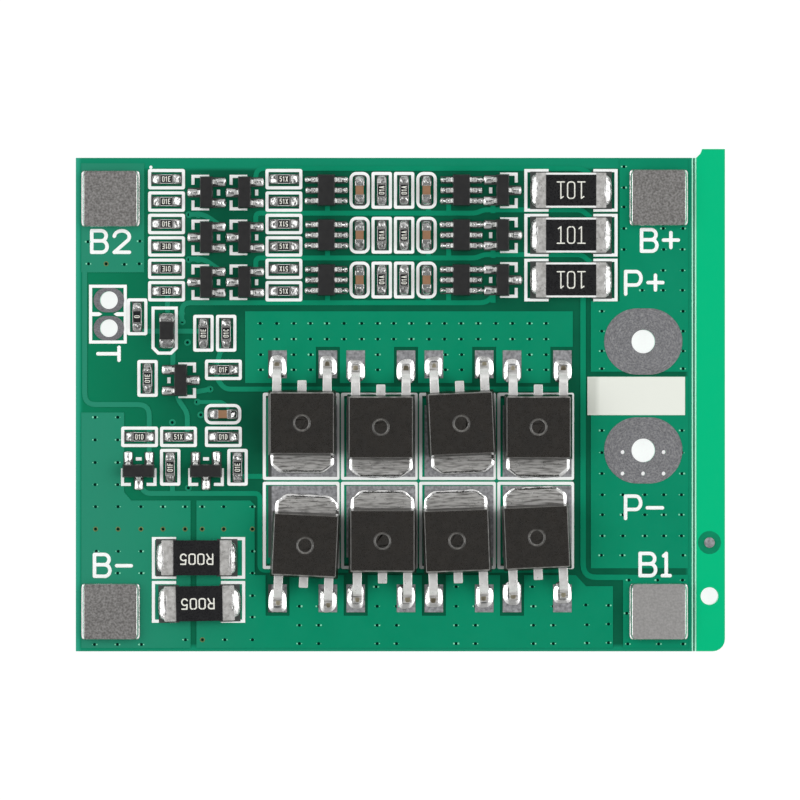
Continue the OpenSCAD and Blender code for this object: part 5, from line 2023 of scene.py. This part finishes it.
@dataclass
class Studio:
    """Pale floor, soft sky, soft boxes and the camera above the board."""

    distance: float = 0.6
    view_width: float = 72.46 * MM
    sensor: float = 36.0
    aim: Pair = (-0.034 * MM, 0.013 * MM)
    clip: Pair = (0.05, 100.0)
    floor_level: float = -0.06 * MM
    floor_reach: float = 30.0
    # Brightness of the floor where it is looked at, and the two greys that catch the shadow and the light
    floor_glow: float = 0.86
    floor_seen: float = 0.2
    floor_lit: float = 0.8
    # Sine of the height above the horizon, and the glow there
    ramp: tuple[Pair, ...] = ((0.0, 1.0), (0.35, 0.98), (0.7, 0.86), (0.88, 0.52), (0.97, 0.14), (1.0, 0.09))
    # The glow's share in front of and behind the board, against that at its left and right, and the
    # sideways parts of the direction between which it changes
    dim: float = 0.4
    dim_range: Pair = (0.2, 0.9)
    boxes: tuple[SoftBox, ...] = (
        SoftBox("left_box", (-0.35, 0.05, 0.3), (0.5, 0.35), 1.6),
        SoftBox("right_box", (0.35, 0.05, 0.3), (0.5, 0.35), 1.6),
        SoftBox("back_box", (0.0, 0.45, 0.5), (0.5, 0.4), 0.4),
    )

    def build(self) -> None:
        """Sets up everything that isn't part of the board."""
        self.sky()
        self.floor()
        for box in self.boxes:
            box.build()
        self.camera()
        bpy.context.scene.view_settings.view_transform = "Standard"

    def sky(self) -> None:
        """Makes the sky dark straight overhead, where the camera hangs, and bright half way down."""
        world = bpy.data.worlds.new("sky")
        bpy.context.scene.world = world
        world.use_nodes = True
        graph = Graph(world.node_tree)
        graph.tree.nodes.clear()
        way = graph.add("TexCoord").outputs["Generated"]
        grey = graph.add("ValToRGB", {"Fac": graph.axes(way)[2]})
        stops = grey.color_ramp.elements
        first, *between, last = self.ramp
        for sine, glow in between:
            stops.new(sine).color = (glow, glow, glow, 1)
        for stop, (sine, glow) in zip((stops[0], stops[-1]), (first, last), strict=True):
            stop.position, stop.color = sine, (glow, glow, glow, 1)
        flat = graph.vector_math("NORMALIZE", graph.vector_math("MULTIPLY", way, (1, 1, 0)))
        sideways = graph.math("ABSOLUTE", graph.axes(flat)[0])
        share = graph.spread(sideways, *self.dim_range, self.dim, 1.0)
        glow = graph.add("Background", {"Color": grey.outputs[0], "Strength": share})
        graph.add("OutputWorld", {"Surface": glow.outputs[0]}).is_active_output = True

    def floor(self) -> None:
        """Lays the white floor, which keeps a faint shadow."""
        mesh = bpy.data.meshes.new("floor")
        corners = [(-1, -1), (1, -1), (1, 1), (-1, 1)]
        places = [(x * self.floor_reach, y * self.floor_reach, self.floor_level) for x, y in corners]
        mesh.from_pydata(places, [], [(0, 1, 2, 3)])
        material = bpy.data.materials.new("floor_white")
        material.use_nodes = True
        graph = Graph(material.node_tree)
        graph.tree.nodes.clear()
        ray = graph.add("LightPath").outputs
        seen = graph.math("MAXIMUM", ray["Is Camera Ray"], ray["Is Glossy Ray"])
        seen = graph.math("MAXIMUM", seen, ray["Is Transmission Ray"])
        glow = graph.add("Emission", {"Color": (1, 1, 1, 1), "Strength": self.floor_glow})
        greys = [(grey, grey, grey, 1) for grey in (self.floor_seen, self.floor_lit)]
        dull, plain = (graph.add("BsdfDiffuse", {"Color": grey}).outputs[0] for grey in greys)
        both = graph.add("AddShader", {0: glow.outputs[0], 1: dull}).outputs[0]
        mix = graph.add("MixShader", {0: seen, 1: plain, 2: both})
        graph.add("OutputMaterial", {"Surface": mix.outputs[0]})
        mesh.materials.append(material)
        placed("floor", mesh)

    def camera(self) -> None:
        """Hangs the camera straight above the board, with the board's top edge at the top."""
        lens = bpy.data.cameras.new("camera")
        lens.sensor_width = self.sensor
        lens.lens = self.sensor * self.distance / self.view_width
        lens.clip_start, lens.clip_end = self.clip
        camera = placed("camera", lens)
        camera.location = (*self.aim, self.distance + LEVEL.copper)
        bpy.context.scene.camera = camera


# ------------------------------------------------------------------ assembly


@dataclass
class Board:
    """The whole dressed board."""

    pieces: FramePieces = field(default_factory=FramePieces)
    chip_fillets: EndFillets = field(
        default_factory=lambda: EndFillets(
            "chip_solder", ("chip_resistor_ends", "capacitor_ends", "diode_ends"), "chip_solder_shape"
        )
    )
    large_fillets: EndFillets = field(
        default_factory=lambda: EndFillets(
            "large_resistor_solder",
            ("balance_resistor_ends", "shunt_resistor_ends"),
            "large_resistor_solder_shape",
            outer=0.03 * MM,
            widen=0.98,
            cover=0.2 * MM,
            bulge=0.04 * MM,
            square=3.4,
            ripple=0.02 * MM,
        )
    )

    def build(self) -> None:
        """Dresses the frame's pieces and adds the rest."""
        finishes = {slot: finish.material() for slot, finish in FINISHES.items()}
        self.pieces.build(finishes)
        chip_solder = CHIP_SOLDER.material()
        self.chip_fillets.build(chip_solder)
        self.large_fillets.build(chip_solder)
        LeadPools().build(finishes["solder"])
        PowerSolder().build(finishes["solder"])
        BarePatches().build(BARE_TIP.material())
        PlateSolder().build(finishes["solder"])
        TerminalLetters().build(finishes["ink"])
        ValueCodes().build(CODE_INK.material())
        Vias().build(finishes["masked_copper"])


def main() -> None:
    """Builds the board and its studio."""
    logging.basicConfig(level=logging.INFO, format="%(message)s")
    Board().build()
    Studio().build()


if __name__ == "__main__":
    main()
